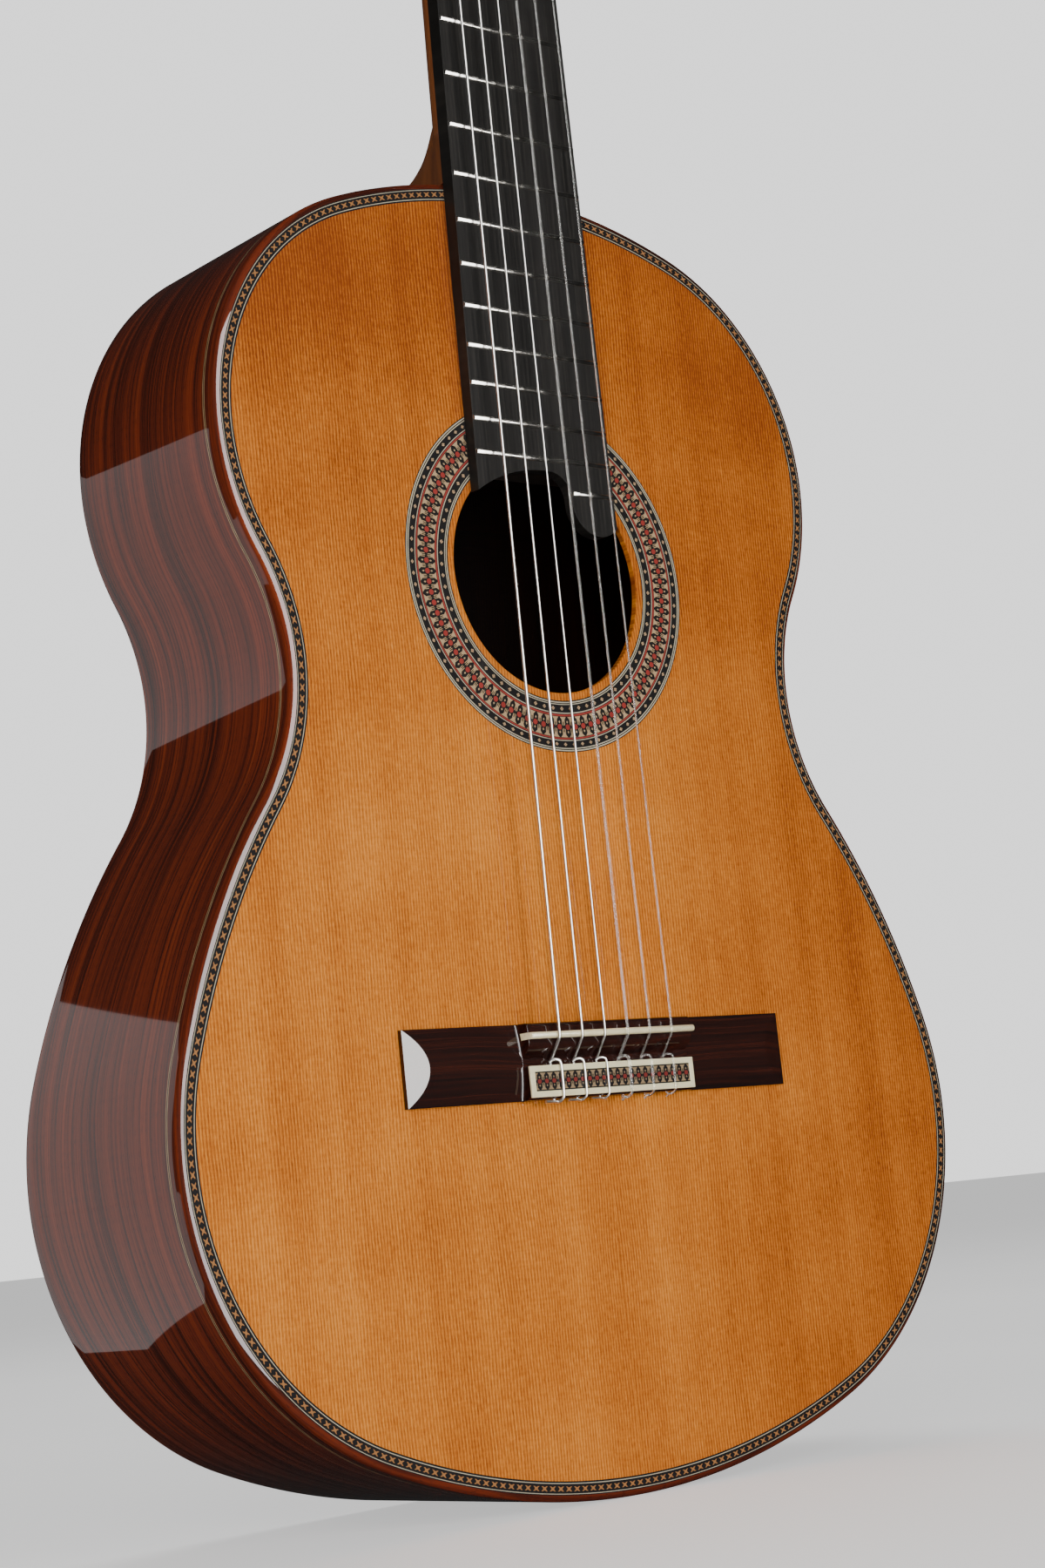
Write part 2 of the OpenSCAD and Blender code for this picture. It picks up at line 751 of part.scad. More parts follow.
// The wings are arched across their width, and their ends slope down
module wings(middle_z) {
    half_width = bridge_width / 2;
    rise = wing_crown - wing_edge;
    arch = (half_width * half_width + rise * rise) / (2 * rise);
    difference() {
        intersection() {
            translate([-bridge_length / 2, -far, bridge_back]) cube([bridge_length, far, bridge_width]);
            translate([-bridge_length, arch - wing_crown, middle_z]) rotate([0, 90, 0])
                cylinder(h = 2 * bridge_length, r = arch, $fn = 240);
        }
        for (side = [0, 1]) mirror([side, 0, 0])
            translate([bridge_length / 2, -wing_edge, bridge_back - 1])
                rotate([0, 0, atan(rise / wing_slope)])
                    translate([-40, -20, 0]) cube([80, 20, bridge_width + 2]);
    }
}

module centre_block() {
    tie_top = inlay_thickness - tie_height;
    profile = [[0, bridge_front], [-6.2, bridge_front], [-8, bridge_front - 1.3], [-8.2, saddle_z - 3],
        [-7, saddle_z - 5], [-4.2, saddle_z - 7], [-3.4, tie_front], [tie_top, tie_front],
        [tie_top, tie_back], [-5.6, bridge_back], [0, bridge_back]];
    translate([-block_half, 0, 0]) rotate([90, 0, 90]) linear_extrude(2 * block_half) polygon(profile);
}

module saddle() color("ivory")
    translate([-saddle_length / 2, -saddle_height, saddle_z - saddle_thickness / 2])
        cube([saddle_length, saddle_height - saddle_seat, saddle_thickness]);

module tie_plate(border) {
    slab(-tie_height, inlay_thickness - tie_height) translate([border - saddle_length / 2, tie_back + border])
        square([saddle_length - 2 * border, tie_front - tie_back - 2 * border]);
}

module tie_block_frame() color("ivory") difference() {
    tie_plate(0);
    translate([0, -1, 0]) tie_plate(frame_border);
    tie_plate(frame_border);
    translate([0, 1, 0]) tie_plate(frame_border);
}

module tie_block_inlay() color("firebrick") tie_plate(frame_border);

// ---- Strings ----

function unit(v) = v / norm(v);

// The line of a string: tied over the block, through its hole, over the saddle and nut, to its roller
function string_path(i) =
    let (r = string_radii[i - 1], x = string_x(i, saddle_spread), loop_x = x + 1.9,
         front = tie_front + r + 0.15, back = bridge_back - r - 0.15, over = -tie_height - r - 0.1,
         nut_x = nut_shift + string_x(i, nut_spread), nut_y = -board_thickness - nut_action - r,
         roller_x = side_of(i) * roller_places[i <= 3 ? i - 1 : 6 - i])
    [[loop_x, -5.4, front], [loop_x, over, front], [loop_x, over, tie_back - r - 0.15],
     [x + 1, -6.4, back], [x, -tie_hole_height, back], [x, -tie_hole_height, tie_front + 1],
     [x, -saddle_height - r - 0.02, saddle_z - saddle_thickness / 2],
     [x, -saddle_height - r - 0.02, saddle_z + saddle_thickness / 2],
     lean_point([nut_x, nut_y, 0]), lean_point([nut_x, nut_y, nut_thickness]),
     head_point([roller_x, roller_depth - roller_radius - r - 0.15, roller_z(i)])];

module string(i) color(i <= 3 ? "whitesmoke" : "silver") {
    path = string_path(i);
    r = string_radii[i - 1];
    last = len(path) - 1;
    skin([for (k = [0:last])
        let (before = unit(path[max(k, 1)] - path[max(k, 1) - 1]),
             after = unit(path[min(k, last - 1) + 1] - path[min(k, last - 1)]),
             along = unit(before + after),
             u = unit(cross(along, [1, 0, 0])), v = cross(along, u))
        [for (a = [0:45:315]) path[k] + r * (cos(a) * u - sin(a) * v)]]);
}

module string_1() string(1);
module string_2() string(2);
module string_3() string(3);
module string_4() string(4);
module string_5() string(5);
module string_6() string(6);

soundboard();
rosette();
top_purfling();
top_binding();
side_purfling();
side_bass();
side_treble();
back_bass();
back_treble();
back_centre_strip();
back_binding();
linings();
tail_block();
end_graft();
neck();
heel_cap();
top_braces();
back_braces();
fingerboard();
frets();
nut();
headstock();
head_veneer();
bridge();
saddle();
tie_block_frame();
tie_block_inlay();
string_1();
string_2();
string_3();
string_4();
string_5();
string_6();
tuner_plate_bass();
tuner_plate_treble();
tuner_screws();
tuner_worm_1();
tuner_worm_2();
tuner_worm_3();
tuner_worm_4();
tuner_worm_5();
tuner_worm_6();
tuner_button_1();
tuner_button_2();
tuner_button_3();
tuner_button_4();
tuner_button_5();
tuner_button_6();
tuner_gear_1();
tuner_gear_2();
tuner_gear_3();
tuner_gear_4();
tuner_gear_5();
tuner_gear_6();
tuner_roller_1();
tuner_roller_2();
tuner_roller_3();
tuner_roller_4();
tuner_roller_5();
tuner_roller_6();
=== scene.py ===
"""Classical guitar: detailed pieces, woods, inlays, metal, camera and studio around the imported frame."""
from math import acos, asin, atan, atan2, ceil, copysign, cos, degrees, pi, radians, sin, sqrt

import bmesh
import bpy
from mathutils import Matrix, Vector


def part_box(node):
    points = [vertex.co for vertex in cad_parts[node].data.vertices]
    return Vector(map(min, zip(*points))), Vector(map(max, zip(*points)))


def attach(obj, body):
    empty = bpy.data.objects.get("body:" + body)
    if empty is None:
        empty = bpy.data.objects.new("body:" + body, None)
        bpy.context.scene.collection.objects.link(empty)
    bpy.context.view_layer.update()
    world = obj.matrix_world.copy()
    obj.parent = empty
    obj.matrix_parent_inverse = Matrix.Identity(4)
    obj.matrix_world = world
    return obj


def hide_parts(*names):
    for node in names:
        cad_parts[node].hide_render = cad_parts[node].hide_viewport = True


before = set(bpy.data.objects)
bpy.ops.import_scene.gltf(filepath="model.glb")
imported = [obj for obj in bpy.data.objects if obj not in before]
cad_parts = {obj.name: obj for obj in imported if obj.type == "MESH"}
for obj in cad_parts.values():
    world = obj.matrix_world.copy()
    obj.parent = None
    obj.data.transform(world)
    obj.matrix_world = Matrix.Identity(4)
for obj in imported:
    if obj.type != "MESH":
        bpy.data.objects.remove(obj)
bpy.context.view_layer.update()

# ---- Sizes in millimetres, in the frame's axes: X to the thin strings, Y to the back, Z up the neck ----

MM = 0.001
SCALE = 650
JOINT_Z = -SCALE / 2
# Arcs of the body's outline from the tail to the upper bout: radius, negative where hollow, and angle
ARCS = [(294, 22.5), (118, 84.5), (296, 18.5), (-82, 64.5), (96, 98.5)]
TAIL_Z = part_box("top_binding")[0].z / MM
HEEL_DEPTH = 89
TAIL_DEPTH = 105.5
BACK_ARCH = 6000
PLATE = 2.6
SIDE = 2.4
BINDING = 6
SIDE_LINE = 1.2
SIDE_LINE_WIDTH = 0.8
PURFLING = 4.8
INLAY = 1.6
HOLE_Z = -477.2
HOLE_RADIUS = 44.8
ROSETTE = (47.8, 67.4)
STRIP_HALF = 1.5
GRAFT_HALF = 6
SIDE_END = 12
CORNER = 2.1
# The front edge is eased along a large round between two angles
EDGE_ROUND = 8.5
EDGE_SLOPE = (24, 37)
HOLE_EASE = 0.35

# Neck
LEAN = radians(0.6)
HEAD_LEAN = radians(15)
NUT_WIDTH = 53.5
JOINT_WIDTH = 63.4
TAPER = (JOINT_WIDTH - NUT_WIDTH) / SCALE
BOARD = 6
FRET_HEIGHT = 0.9
FRET_HALF = 1.1
LAST_FRET = 19
NUT = 5
SHAFT = (15.5, 18)
SHAFT_POWER = 1.85
# Behind the nut the neck swells and squares up: length, and depth or power gained
SWELL = (16, 4)
SQUARING = (20, 4)
HEEL_LENGTH = 47
HEEL_SWEEP = 5
HEEL_TAPER = 2.5
# Heel cap: length, width and thickness; the neck's foot inside the body: half width and reach
CAP = (18, 28, 2.8)
FOOT = (30, 38)

# Head and tuners
HEAD_LENGTH = 188
HEAD_HALF = 36
HEAD_THICK = 18
VENEER = 2.5
SLOT_X = (7.5, 23)
SLOT_Z = (20, 145)
ROLLER_Z = (60, 95, 130)
ROLLER_DEPTH = 8
ROLLER_RADIUS = 5
GEAR_X = 39
GEAR_THICK = 3
GEAR_RADIUS = 7
TEETH = 14
WORM_X = 40.5
WORM_DROP = 9.95
WORM_RADIUS = 2.8
WORM_SHAFT = 1.5
THREAD = 2.8
LUG_HALF = 3.2
TUNER_PLATE = 1.2
BUTTON = (22, 38)
BUTTON_HALF = 9.2
BUTTON_THICK = 4.9

# Strings and bridge
STRING_RADII = (0.36, 0.42, 0.52, 0.38, 0.46, 0.56)
NUT_SPREAD = 22
NUT_SHIFT = 1
SADDLE_SPREAD = 27.6
ROLLER_PLACES = (18, 15, 13.5)
SADDLE_HEIGHT = 10.6
SADDLE_HALF = 39.8
SADDLE_THICK = 2.4
WING_CROWN = 3.8
WING_EDGE = 2.0
WING_SLOPE = 9.7
BRIDGE_HALF = 91.7
BRIDGE_FRONT = -645.3
BRIDGE_BACK = -672.7
# The hollow behind the saddle: height and depth where it starts, then its length and fall
WALL = (-652.6, -8.2)
HOLLOW = (6.6, 4.8)
TIE = (-660.6, -671.9)
TIE_TOP = -7.4
TIE_HOLE = -4.4
FRAME_BORDER = 2.2

# ---- Places ----


def evenly(start, end, steps):
    """Evenly spaced values from start to end, with both."""
    return [start + (end - start) * i / steps for i in range(steps + 1)]


def circle(sides):
    """Angles all the way round."""
    return evenly(0, 2 * pi, sides)[:-1]


def rectangle(half, low, high):
    """Corners of a rectangle about the centre line."""
    return [(-half, low), (half, low), (half, high), (-half, high)]


def leaned(point):
    """A point of the neck, which leans forward about the line where it meets the body."""
    x, y, z = point
    z -= JOINT_Z
    return x, y * cos(LEAN) - z * sin(LEAN), y * sin(LEAN) + z * cos(LEAN) + JOINT_Z


def on_head(point):
    """A point of the head, which leans back from the neck at the nut."""
    x, y, z = point
    return leaned((x, y * cos(HEAD_LEAN) + z * sin(HEAD_LEAN), z * cos(HEAD_LEAN) - y * sin(HEAD_LEAN)))


def half_outline(first_x=0.0, last_x=0.0, step=3.0):
    """Stations (run, x, z, heading) along one half of the outline, from the tail to the joint."""
    rows, x, z, heading, run = [], 0.0, TAIL_Z, 0.0, 0.0
    for k in range(len(ARCS) + 1):
        closing = k == len(ARCS)
        radius, turn = (x / sin(heading), pi - heading) if closing else (ARCS[k][0], radians(ARCS[k][1]))
        sign = copysign(1, radius)
        centre_x, centre_z = x - radius * sin(heading), z + radius * cos(heading)
        begin = asin(first_x / radius) if k == 0 else 0
        end = turn - asin(last_x / radius) if closing else turn
        parts = evenly(begin, end, ceil(abs(radius) * (end - begin) / step))
        for part in parts if k == 0 else parts[1:]:
            now = heading + sign * part
            rows.append((run + abs(radius) * part, centre_x + radius * sin(now),
                         centre_z - radius * cos(now), now))
        run += abs(radius) * turn
        x, z, heading = rows[-1][1:]
    return rows


def on_side(side, stations):
    """Stations (run, x, z, sine, cosine) of one half, put on the treble side (1) or the bass side (-1)."""
    return [(run, side * x, z, side * sin(h), cos(h)) for run, x, z, h in stations]


def full_outline():
    """Stations (run, x, z, sine, cosine) all the way round; run is the distance from the tail."""
    half = half_outline()
    return on_side(1, half) + on_side(-1, half[-2:0:-1])


def back_depth(x, z, lift=0.0):
    """Depth of the arched and tapering back at a place, moved forward by lift."""
    slope = (TAIL_DEPTH - HEEL_DEPTH) / (JOINT_Z - TAIL_Z)
    return HEEL_DEPTH - (x * x / (2 * BACK_ARCH) + lift) / cos(atan(slope)) - slope * (z - JOINT_Z)


def outline_top(x):
    """Height of the outline's closing arc at a distance from the centre line."""
    before, top = half_outline()[-2:]
    radius = before[1] / sin(before[3])
    return top[2] - radius + sqrt(radius * radius - x * x)


def board_half(distance):
    return NUT_WIDTH / 2 + TAPER * distance


def fret_distance(number):
    return SCALE * (1 - 2 ** (-number / 12))


def string_x(i, spread):
    return spread * (3.5 - i) / 2.5


def side_of(i):
    return 1 if i <= 3 else -1


def rank(i):
    """Place of a string's tuner on its side, from the nut up."""
    return i - 1 if i <= 3 else 6 - i


def roller_height(i):
    return ROLLER_Z[rank(i)]


# ---- Shapes: a shape is (points, faces) ----


def skin(rings, closed=False):
    """Joins rings of points into a closed solid, or into a loop of rings."""
    size, count = len(rings[0]), len(rings)
    faces = []
    for j in range(count if closed else count - 1):
        here, there = j * size, (j + 1) % count * size
        faces += [(here + k, here + (k + 1) % size, there + (k + 1) % size, there + k) for k in range(size)]
    if not closed:
        faces += [tuple(range(size))[::-1], tuple(range((count - 1) * size, count * size))]
    return [p for ring in rings for p in ring], faces


def merge(*shapes):
    """Several shapes as one."""
    points, faces = [], []
    for more, their_faces in shapes:
        base = len(points)
        points += more
        faces += [tuple(base + k for k in face) for face in their_faces]
    return points, faces


def moved(shape, place):
    """A shape with every point put through a function."""
    return [place(p) for p in shape[0]], shape[1]


def lathe(profile, sides=40):
    """Turns a profile of (place along X, radius) points about X."""
    return skin([[(x, r * cos(t), r * sin(t)) for t in circle(sides)] for x, r in profile])


def from_bmesh(mesh):
    """The shape of an editing mesh, which is freed. Sorting gives the faces one order on every run."""
    mesh.verts.index_update()
    shape = [tuple(v.co) for v in mesh.verts], sorted(tuple(v.index for v in f.verts) for f in mesh.faces)
    mesh.free()
    return shape


def prism(loops, front, back):
    """A plate between two depths. Loops are outlines in X and Z: the outer one, then any holes."""
    mesh = bmesh.new()
    edges = []
    for loop in loops:
        corners = [mesh.verts.new((x, front, z)) for x, z in loop]
        edges += [mesh.edges.new(pair) for pair in zip(corners, corners[1:] + corners[:1])]
    bmesh.ops.triangle_fill(mesh, use_beauty=True, use_dissolve=False, edges=edges)
    made = bmesh.ops.extrude_face_region(mesh, geom=mesh.faces[:])
    for item in made["geom"]:
        if isinstance(item, bmesh.types.BMVert):
            item.co.y = back
    return from_bmesh(mesh)


def tube(path, radius, sides=12):
    """A round rod along a path of points."""
    points = [Vector(p) for p in path]
    across, rings = Vector((0, 1, 0.1)), []
    for k, point in enumerate(points):
        along = (points[min(k + 1, len(points) - 1)] - points[max(k - 1, 0)]).normalized()
        across = (across - along * across.dot(along)).normalized()
        other = along.cross(across)
        rings.append([tuple(point + radius * (cos(t) * across + sin(t) * other)) for t in circle(sides)])
    return skin(rings)


def rounded(path, cut=1.2, steps=6):
    """A path with each corner turned into a smooth bend that starts at most cut before the corner."""
    points = [Vector(p) for p in path]
    made = [points[0]]
    for before, corner, after in zip(points, points[1:], points[2:]):
        reach = min(cut, 0.48 * (corner - before).length, 0.48 * (after - corner).length)
        start = corner + (before - corner).normalized() * reach
        end = corner + (after - corner).normalized() * reach
        made += [start * (1 - t) ** 2 + corner * 2 * t * (1 - t) + end * t * t for t in evenly(0, 1, steps)]
    return made + [points[-1]]


def arc(centre, radius, start, end, steps):
    """Points of an arc in a plane, with its angles in degrees."""
    turns = [radians(a) for a in evenly(start, end, steps)]
    return [(centre[0] + radius * cos(t), centre[1] + radius * sin(t)) for t in turns]


def piece(name, shape, material, body="root", replaces=(), slot=None, bevel=0.0, sharp=35, along=None):
    """Makes a mesh object of a shape, smooth but for its sharp edges, and fixes it to its body."""
    data = bpy.data.meshes.new(name)
    data.from_pydata([tuple(c * MM for c in p) for p in shape[0]], [], shape[1])
    if along:
        data.attributes.new("along", "FLOAT_VECTOR", "POINT").data.foreach_set(
            "vector", [c for row in along for c in row])
    mesh = bmesh.new()
    mesh.from_mesh(data)
    bmesh.ops.remove_doubles(mesh, verts=mesh.verts[:], dist=1e-7)
    bmesh.ops.recalc_face_normals(mesh, faces=mesh.faces[:])
    mesh.to_mesh(data)
    mesh.free()
    data.polygons.foreach_set("use_smooth", [True] * len(data.polygons))
    data.set_sharp_from_angle(angle=radians(sharp))
    data.materials.append(material)
    made = bpy.data.objects.new(name, data)
    bpy.context.scene.collection.objects.link(made)
    if bevel:
        round_edges(made, bevel, sharp)
    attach(made, body)
    if replaces:
        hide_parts(*replaces)
    return made


def round_edges(item, width, sharp):
    """Takes the edge off every corner sharper than an angle."""
    modifier = item.modifiers.new("rounding", "BEVEL")
    modifier.width = width * MM
    modifier.segments = 3
    modifier.limit_method = "ANGLE"
    modifier.angle_limit = radians(sharp)
    modifier.use_clamp_overlap = True
    modifier.harden_normals = True


def keep_node(name, material, bevel):
    """Gives a CAD node that stays its material and small rounded edges."""
    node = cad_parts[name]
    node.data.materials.clear()
    node.data.materials.append(material)
    round_edges(node, bevel, 40)


# ---- Materials ----


class Wire:
    """A value inside a material, which ordinary arithmetic joins with nodes."""

    def __init__(self, tree, socket):
        self.tree, self.socket = tree, socket

    def math(self, operation, *others):
        node = self.tree.nodes.new("ShaderNodeMath")
        node.operation = operation
        for place, value in zip(node.inputs, (self, *others)):
            feed(self.tree, place, value)
        return Wire(self.tree, node.outputs[0])


def operation(kind):
    """A method of Wire for one operation of the math node."""
    return lambda wire, *others: wire.math(kind, *others)


for method, kind in (("__add__", "ADD"), ("__sub__", "SUBTRACT"), ("__mul__", "MULTIPLY"),
                     ("__abs__", "ABSOLUTE"), ("below", "LESS_THAN"), ("above", "GREATER_THAN"),
                     ("sine", "SINE"), ("fraction", "FRACT"), ("least", "MINIMUM"), ("most", "MAXIMUM")):
    setattr(Wire, method, operation(kind))


def feed(tree, place, value):
    """Links a wire to a socket, or sets the socket to a plain value."""
    if isinstance(value, Wire):
        tree.links.new(value.socket, place)
    elif isinstance(value, tuple) and len(value) == 3 and place.type == "RGBA":
        place.default_value = (*value, 1)
    else:
        place.default_value = value


class Paint:
    """A Principled material and the nodes that make its pattern. Lengths are in millimetres."""

    def __init__(self, name, **sockets):
        self.material = bpy.data.materials.new(name)
        self.material.use_nodes = True
        self.tree = self.material.node_tree
        self.shader = self.tree.nodes["Principled BSDF"]
        for socket, value in sockets.items():
            self.set(socket.replace("_", " "), value)

    def set(self, socket, value):
        feed(self.tree, self.shader.inputs[socket], value)

    def node(self, kind, output, **values):
        node = self.tree.nodes.new("ShaderNode" + kind)
        for key, value in values.items():
            if key in node.inputs:
                feed(self.tree, node.inputs[key], value)
            else:
                setattr(node, key, value)
        return Wire(self.tree, node.outputs[output])

    def split(self, vector):
        node = self.tree.nodes.new("ShaderNodeSeparateXYZ")
        self.tree.links.new(vector.socket, node.inputs[0])
        return [Wire(self.tree, out) * (1 / MM) for out in node.outputs]

    def place(self):
        """X, Y and Z in the frame."""
        return self.split(self.node("TexCoord", "Object"))

    def along(self):
        """Distance along the outline, depth and inset, which a swept piece carries in metres."""
        return self.split(self.node("Attribute", "Vector", attribute_name="along"))

    def join(self, x=0.0, y=0.0, z=0.0):
        return self.node("CombineXYZ", 0, X=x, Y=y, Z=z)

    def noise(self, x=0.0, y=0.0, z=0.0, detail=2.0, roughness=0.5):
        return self.node("TexNoise", 0, Vector=self.join(x, y, z), Scale=1.0, Detail=detail,
                         Roughness=roughness)

    def clouds(self, across, deep, up, **values):
        """Noise over the frame's places, each axis on its own scale."""
        x, y, z = self.place()
        return self.noise(x * across, y * deep, z * up, **values)

    def mix(self, share, first, second):
        node = self.tree.nodes.new("ShaderNodeMix")
        node.data_type = "RGBA"
        for place, value in ((0, share), (6, first), (7, second)):
            feed(self.tree, node.inputs[place], value)
        return Wire(self.tree, node.outputs[2])

    def ramp(self, share, stops, steps=False):
        """A colour for each share; stops are (share, colour), and steps keeps them apart."""
        node = self.tree.nodes.new("ShaderNodeValToRGB")
        self.tree.links.new(share.socket, node.inputs[0])
        band = node.color_ramp
        band.interpolation = "CONSTANT" if steps else "LINEAR"
        while len(band.elements) < len(stops):
            band.elements.new(1.0)
        for element, (at, colour) in zip(band.elements, stops):
            element.position, element.color = at, (*colour, 1)
        return Wire(self.tree, node.outputs[0])

    def done(self, colour, height=None, strength=0.0, distance=0.0):
        """The material, once it has its colour and, where a height is given, its relief."""
        self.set("Base Color", colour)
        if height:
            self.set("Normal", self.node("Bump", 0, Height=height, Strength=strength, Distance=distance * MM))
        return self.material


def varnished(name):
    """Paint for an inlay under the front's thin lacquer."""
    return Paint(name, Roughness=0.7, Specular_IOR_Level=0.1, Coat_Weight=0.45, Coat_Roughness=0.05)


BLACK = (0.006, 0.005, 0.005)
CREAM = (0.46, 0.42, 0.31)
TAN = (0.44, 0.31, 0.17)
PURFLING_TAN = (0.36, 0.16, 0.05)
RED = (0.30, 0.030, 0.022)


def cedar():
    """Fine straight grain, matched about the centre line, with cross silk, slow changes of tone, and painted
    shade that darkens the upper bout and, lower down, the treble side.
    """
    p = Paint("cedar", Roughness=0.7, Specular_IOR_Level=0.05, Coat_Weight=0.35, Coat_Roughness=0.04)
    x, _, z = p.place()
    side = abs(x)
    wander = p.noise(side * 0.012, z * 0.005, 0.0) * 7 + p.noise(x * 0.03, z * 0.02, 3.0) * 2
    lines = side + wander
    pitch = p.noise(lines * 0.05, 0.0, 7.0) * 9
    wave = ((lines * (2 * pi / 1.35)) + pitch).sine() * 0.5 + 0.5
    rings = (wave * wave * -1 + 1) * (wave * wave * -1 + 1)
    streaks = p.noise(lines * 1.6, x.above(0.0) * 9, z * 0.06, detail=3.0, roughness=0.7)
    dashes = (p.noise(x * 2.4, 5.0, z * 0.28, roughness=0.6) - 0.5) * 1.6 + 0.5
    bands = p.noise(lines * 0.07, 2.0, z * 0.002, detail=3.0)
    silk = p.noise(x * 0.16, 11.0, z * 1.1, detail=3.0, roughness=0.6)
    clouds = p.noise(x * 0.012, 4.0, z * 0.02)
    # Painted shade: the front grows darker towards the upper bout and, below it, towards the treble side.
    upper_painted_shade = ((z + 540) * (1 / 180)).least(1.0).most(0.0)
    far_side_painted_shade = (x * (1 / 180)).most(0.0)
    flecks = (p.noise(x * 4.5, 9.0, z * 0.55, detail=1.0) - 0.5) * 1.5
    tone = (streaks * 0.55 + dashes * 0.45 + flecks * 0.4 + bands * 0.4 + silk * 0.3 + clouds * 0.4
            - rings * 0.32 - upper_painted_shade * 0.37 - far_side_painted_shade * (upper_painted_shade * -1 + 1) * 0.28 - 0.30)
    colour = p.ramp(tone, [(0.08, (0.22, 0.042, 0.004)), (0.42, (0.46, 0.126, 0.010)),
                           (0.62, (0.60, 0.19, 0.018)), (0.92, (0.76, 0.30, 0.044))])
    return p.done(colour, rings * 0.4 + dashes * 0.6 + silk * 0.3, 0.25, 0.05)


def rosewood(name, spread, inside, shade=1.0):
    """Dark stripes in red-brown. Spread gives distances along and across the grain, inside the faces within
    the box, where painted shade turns the wood nearly black."""
    p = Paint(name, Roughness=0.7, Specular_IOR_Level=0.05, Coat_Weight=1.0, Coat_Roughness=0.03)
    along, across = spread(p)
    drift = p.noise(along * 0.004, across * 0.01, 1.0) * 22
    lines = across + drift
    bands = p.noise(lines * 0.16, along * 0.0012, 2.0, detail=3.0, roughness=0.6)
    stripes = p.noise(lines * 0.75, along * 0.004, 5.0, detail=3.0, roughness=0.65)
    threads = p.noise(lines * 3.2, along * 0.03, 8.0)
    pores = p.noise(across * 7, along * 0.25, 3.0, detail=1.0)
    tone = bands * 0.55 + stripes * 0.7 + threads * 0.25 - 0.28
    stops = [(0.22, (0.008, 0.002, 0.001)), (0.4, (0.07, 0.010, 0.003)), (0.56, (0.17, 0.024, 0.006)),
             (0.8, (0.32, 0.060, 0.014))]
    colour = p.ramp(tone, [(at, tuple(c * shade for c in tint)) for at, tint in stops])
    # Pores darken the wood, and painted shade darkens the faces inside the box.
    dark = (pores.above(0.66) * 0.6).most(inside(p) * 0.93)
    colour = p.mix(dark, colour, (0.004, 0.002, 0.001))
    return p.done(colour, pores * 0.5 + stripes * 0.5, 0.12, 0.03)


def along_sides(p):
    run, depth, _ = p.along()
    return run, depth


def along_back(p):
    x, _, z = p.place()
    return z, abs(x)


def along_neck(p):
    x, _, z = p.place()
    return z, x * 0.8


def along_bridge(p):
    x, y, z = p.place()
    return x * 1.5, (z + y * 0.7) * 1.2


def nowhere(p):
    return p.place()[0] * 0.0


def facing_front(p):
    """The back's inner face, which looks at the front and gets painted shade."""
    return p.split(p.node("NewGeometry", "Normal"))[1].below(0.0)


def inner_side(p):
    """The inner face of a side, which gets painted shade."""
    _, depth, inset = p.along()
    return inset.above(SIDE - 0.1) * depth.above(BINDING + 0.1)


def plain_wood(name, dark, light, spread, pitch=1.2, gloss=0.0, roughness=0.5):
    """A quiet wood, such as the neck's cedrela or the spruce of the braces."""
    p = Paint(name, Roughness=roughness, Coat_Weight=gloss, Coat_Roughness=0.08)
    along, across, other = spread(p)
    lines = across + p.noise(along * 0.006, other * 0.02, 1.0) * 14
    grain = p.noise(lines * (1 / pitch), other * 0.3, along * 0.012, detail=3.0, roughness=0.6)
    pores = p.noise(across * 3, other * 3, along * 0.16)
    bands = p.noise(lines * 0.07, other * 0.07, along * 0.003)
    tone = grain * 0.5 + pores * 0.25 + bands * 0.4 - 0.1
    return p.done(p.ramp(tone, [(0.3, dark), (0.7, light)]), pores * 0.7 + grain * 0.3, 0.2, 0.06)


def ebony():
    """Nearly black board with faint lengthwise streaks and a satin finish."""
    p = Paint("ebony", Specular_IOR_Level=0.25)
    x, _, z = p.place()
    streaks = p.noise(x * 0.9, 0.0, z * 0.012, detail=4.0, roughness=0.65)
    pores = p.noise(x * 5, 3.0, z * 0.2)
    p.set("Roughness", streaks * 0.2 + 0.3)
    colour = p.ramp(streaks * 0.8 + pores * 0.25, [
        (0.3, (0.003, 0.003, 0.003)), (0.55, (0.011, 0.010, 0.009)), (0.75, (0.034, 0.030, 0.025))])
    return p.done(colour, pores * 0.6 + streaks * 0.4, 0.15, 0.04)


def flower(p, around, across):
    """The mosaic's motif in a cell: a red heart between black leaves, with tan triangles between them."""
    gap, height = abs(abs(around) - 1) * 0.5, abs(across)
    reach = ((height - 0.36) * (1 / 0.64)).most(0.0)
    triangle = gap.below(reach * reach * 0.2 + reach * 0.2)
    fringe = abs(gap - 0.15).below(0.035) * abs(height - 0.42).below(0.24)
    edge = gap.below(0.03) * height.below(0.40) * height.above(0.12)
    spot = (abs(around) * 5 + abs(height - 0.50) * 7).below(1.0)
    light = triangle.most(fringe).most(spot).most(edge)
    heart = (around * around * 3.6 + height * height * 13.0).below(1.0)
    return p.mix(heart, p.mix(light, BLACK, TAN), RED)


def cross(p, around, across):
    """A small tan cross on black, in a cell from -1 to 1 each way."""
    bar = abs(around).below(0.34) * abs(across).below(0.17)
    post = abs(around).below(0.16) * abs(across).below(0.46)
    heart = abs(around).below(0.12) * abs(across).below(0.12)
    return p.mix(heart, p.mix(bar.most(post), BLACK, TAN), (0.36, 0.10, 0.06))


def cell(position, low, high):
    """A place between two limits, from -1 to 1."""
    return (position - (low + high) / 2) * (2 / (high - low))


def lines_across(p, position, low, high, edges):
    """Colours between limits, each from its own edge on."""
    share = (position - low) * (1 / (high - low))
    return p.ramp(share, [((edge - low) / (high - low), colour) for edge, colour in edges], steps=True)


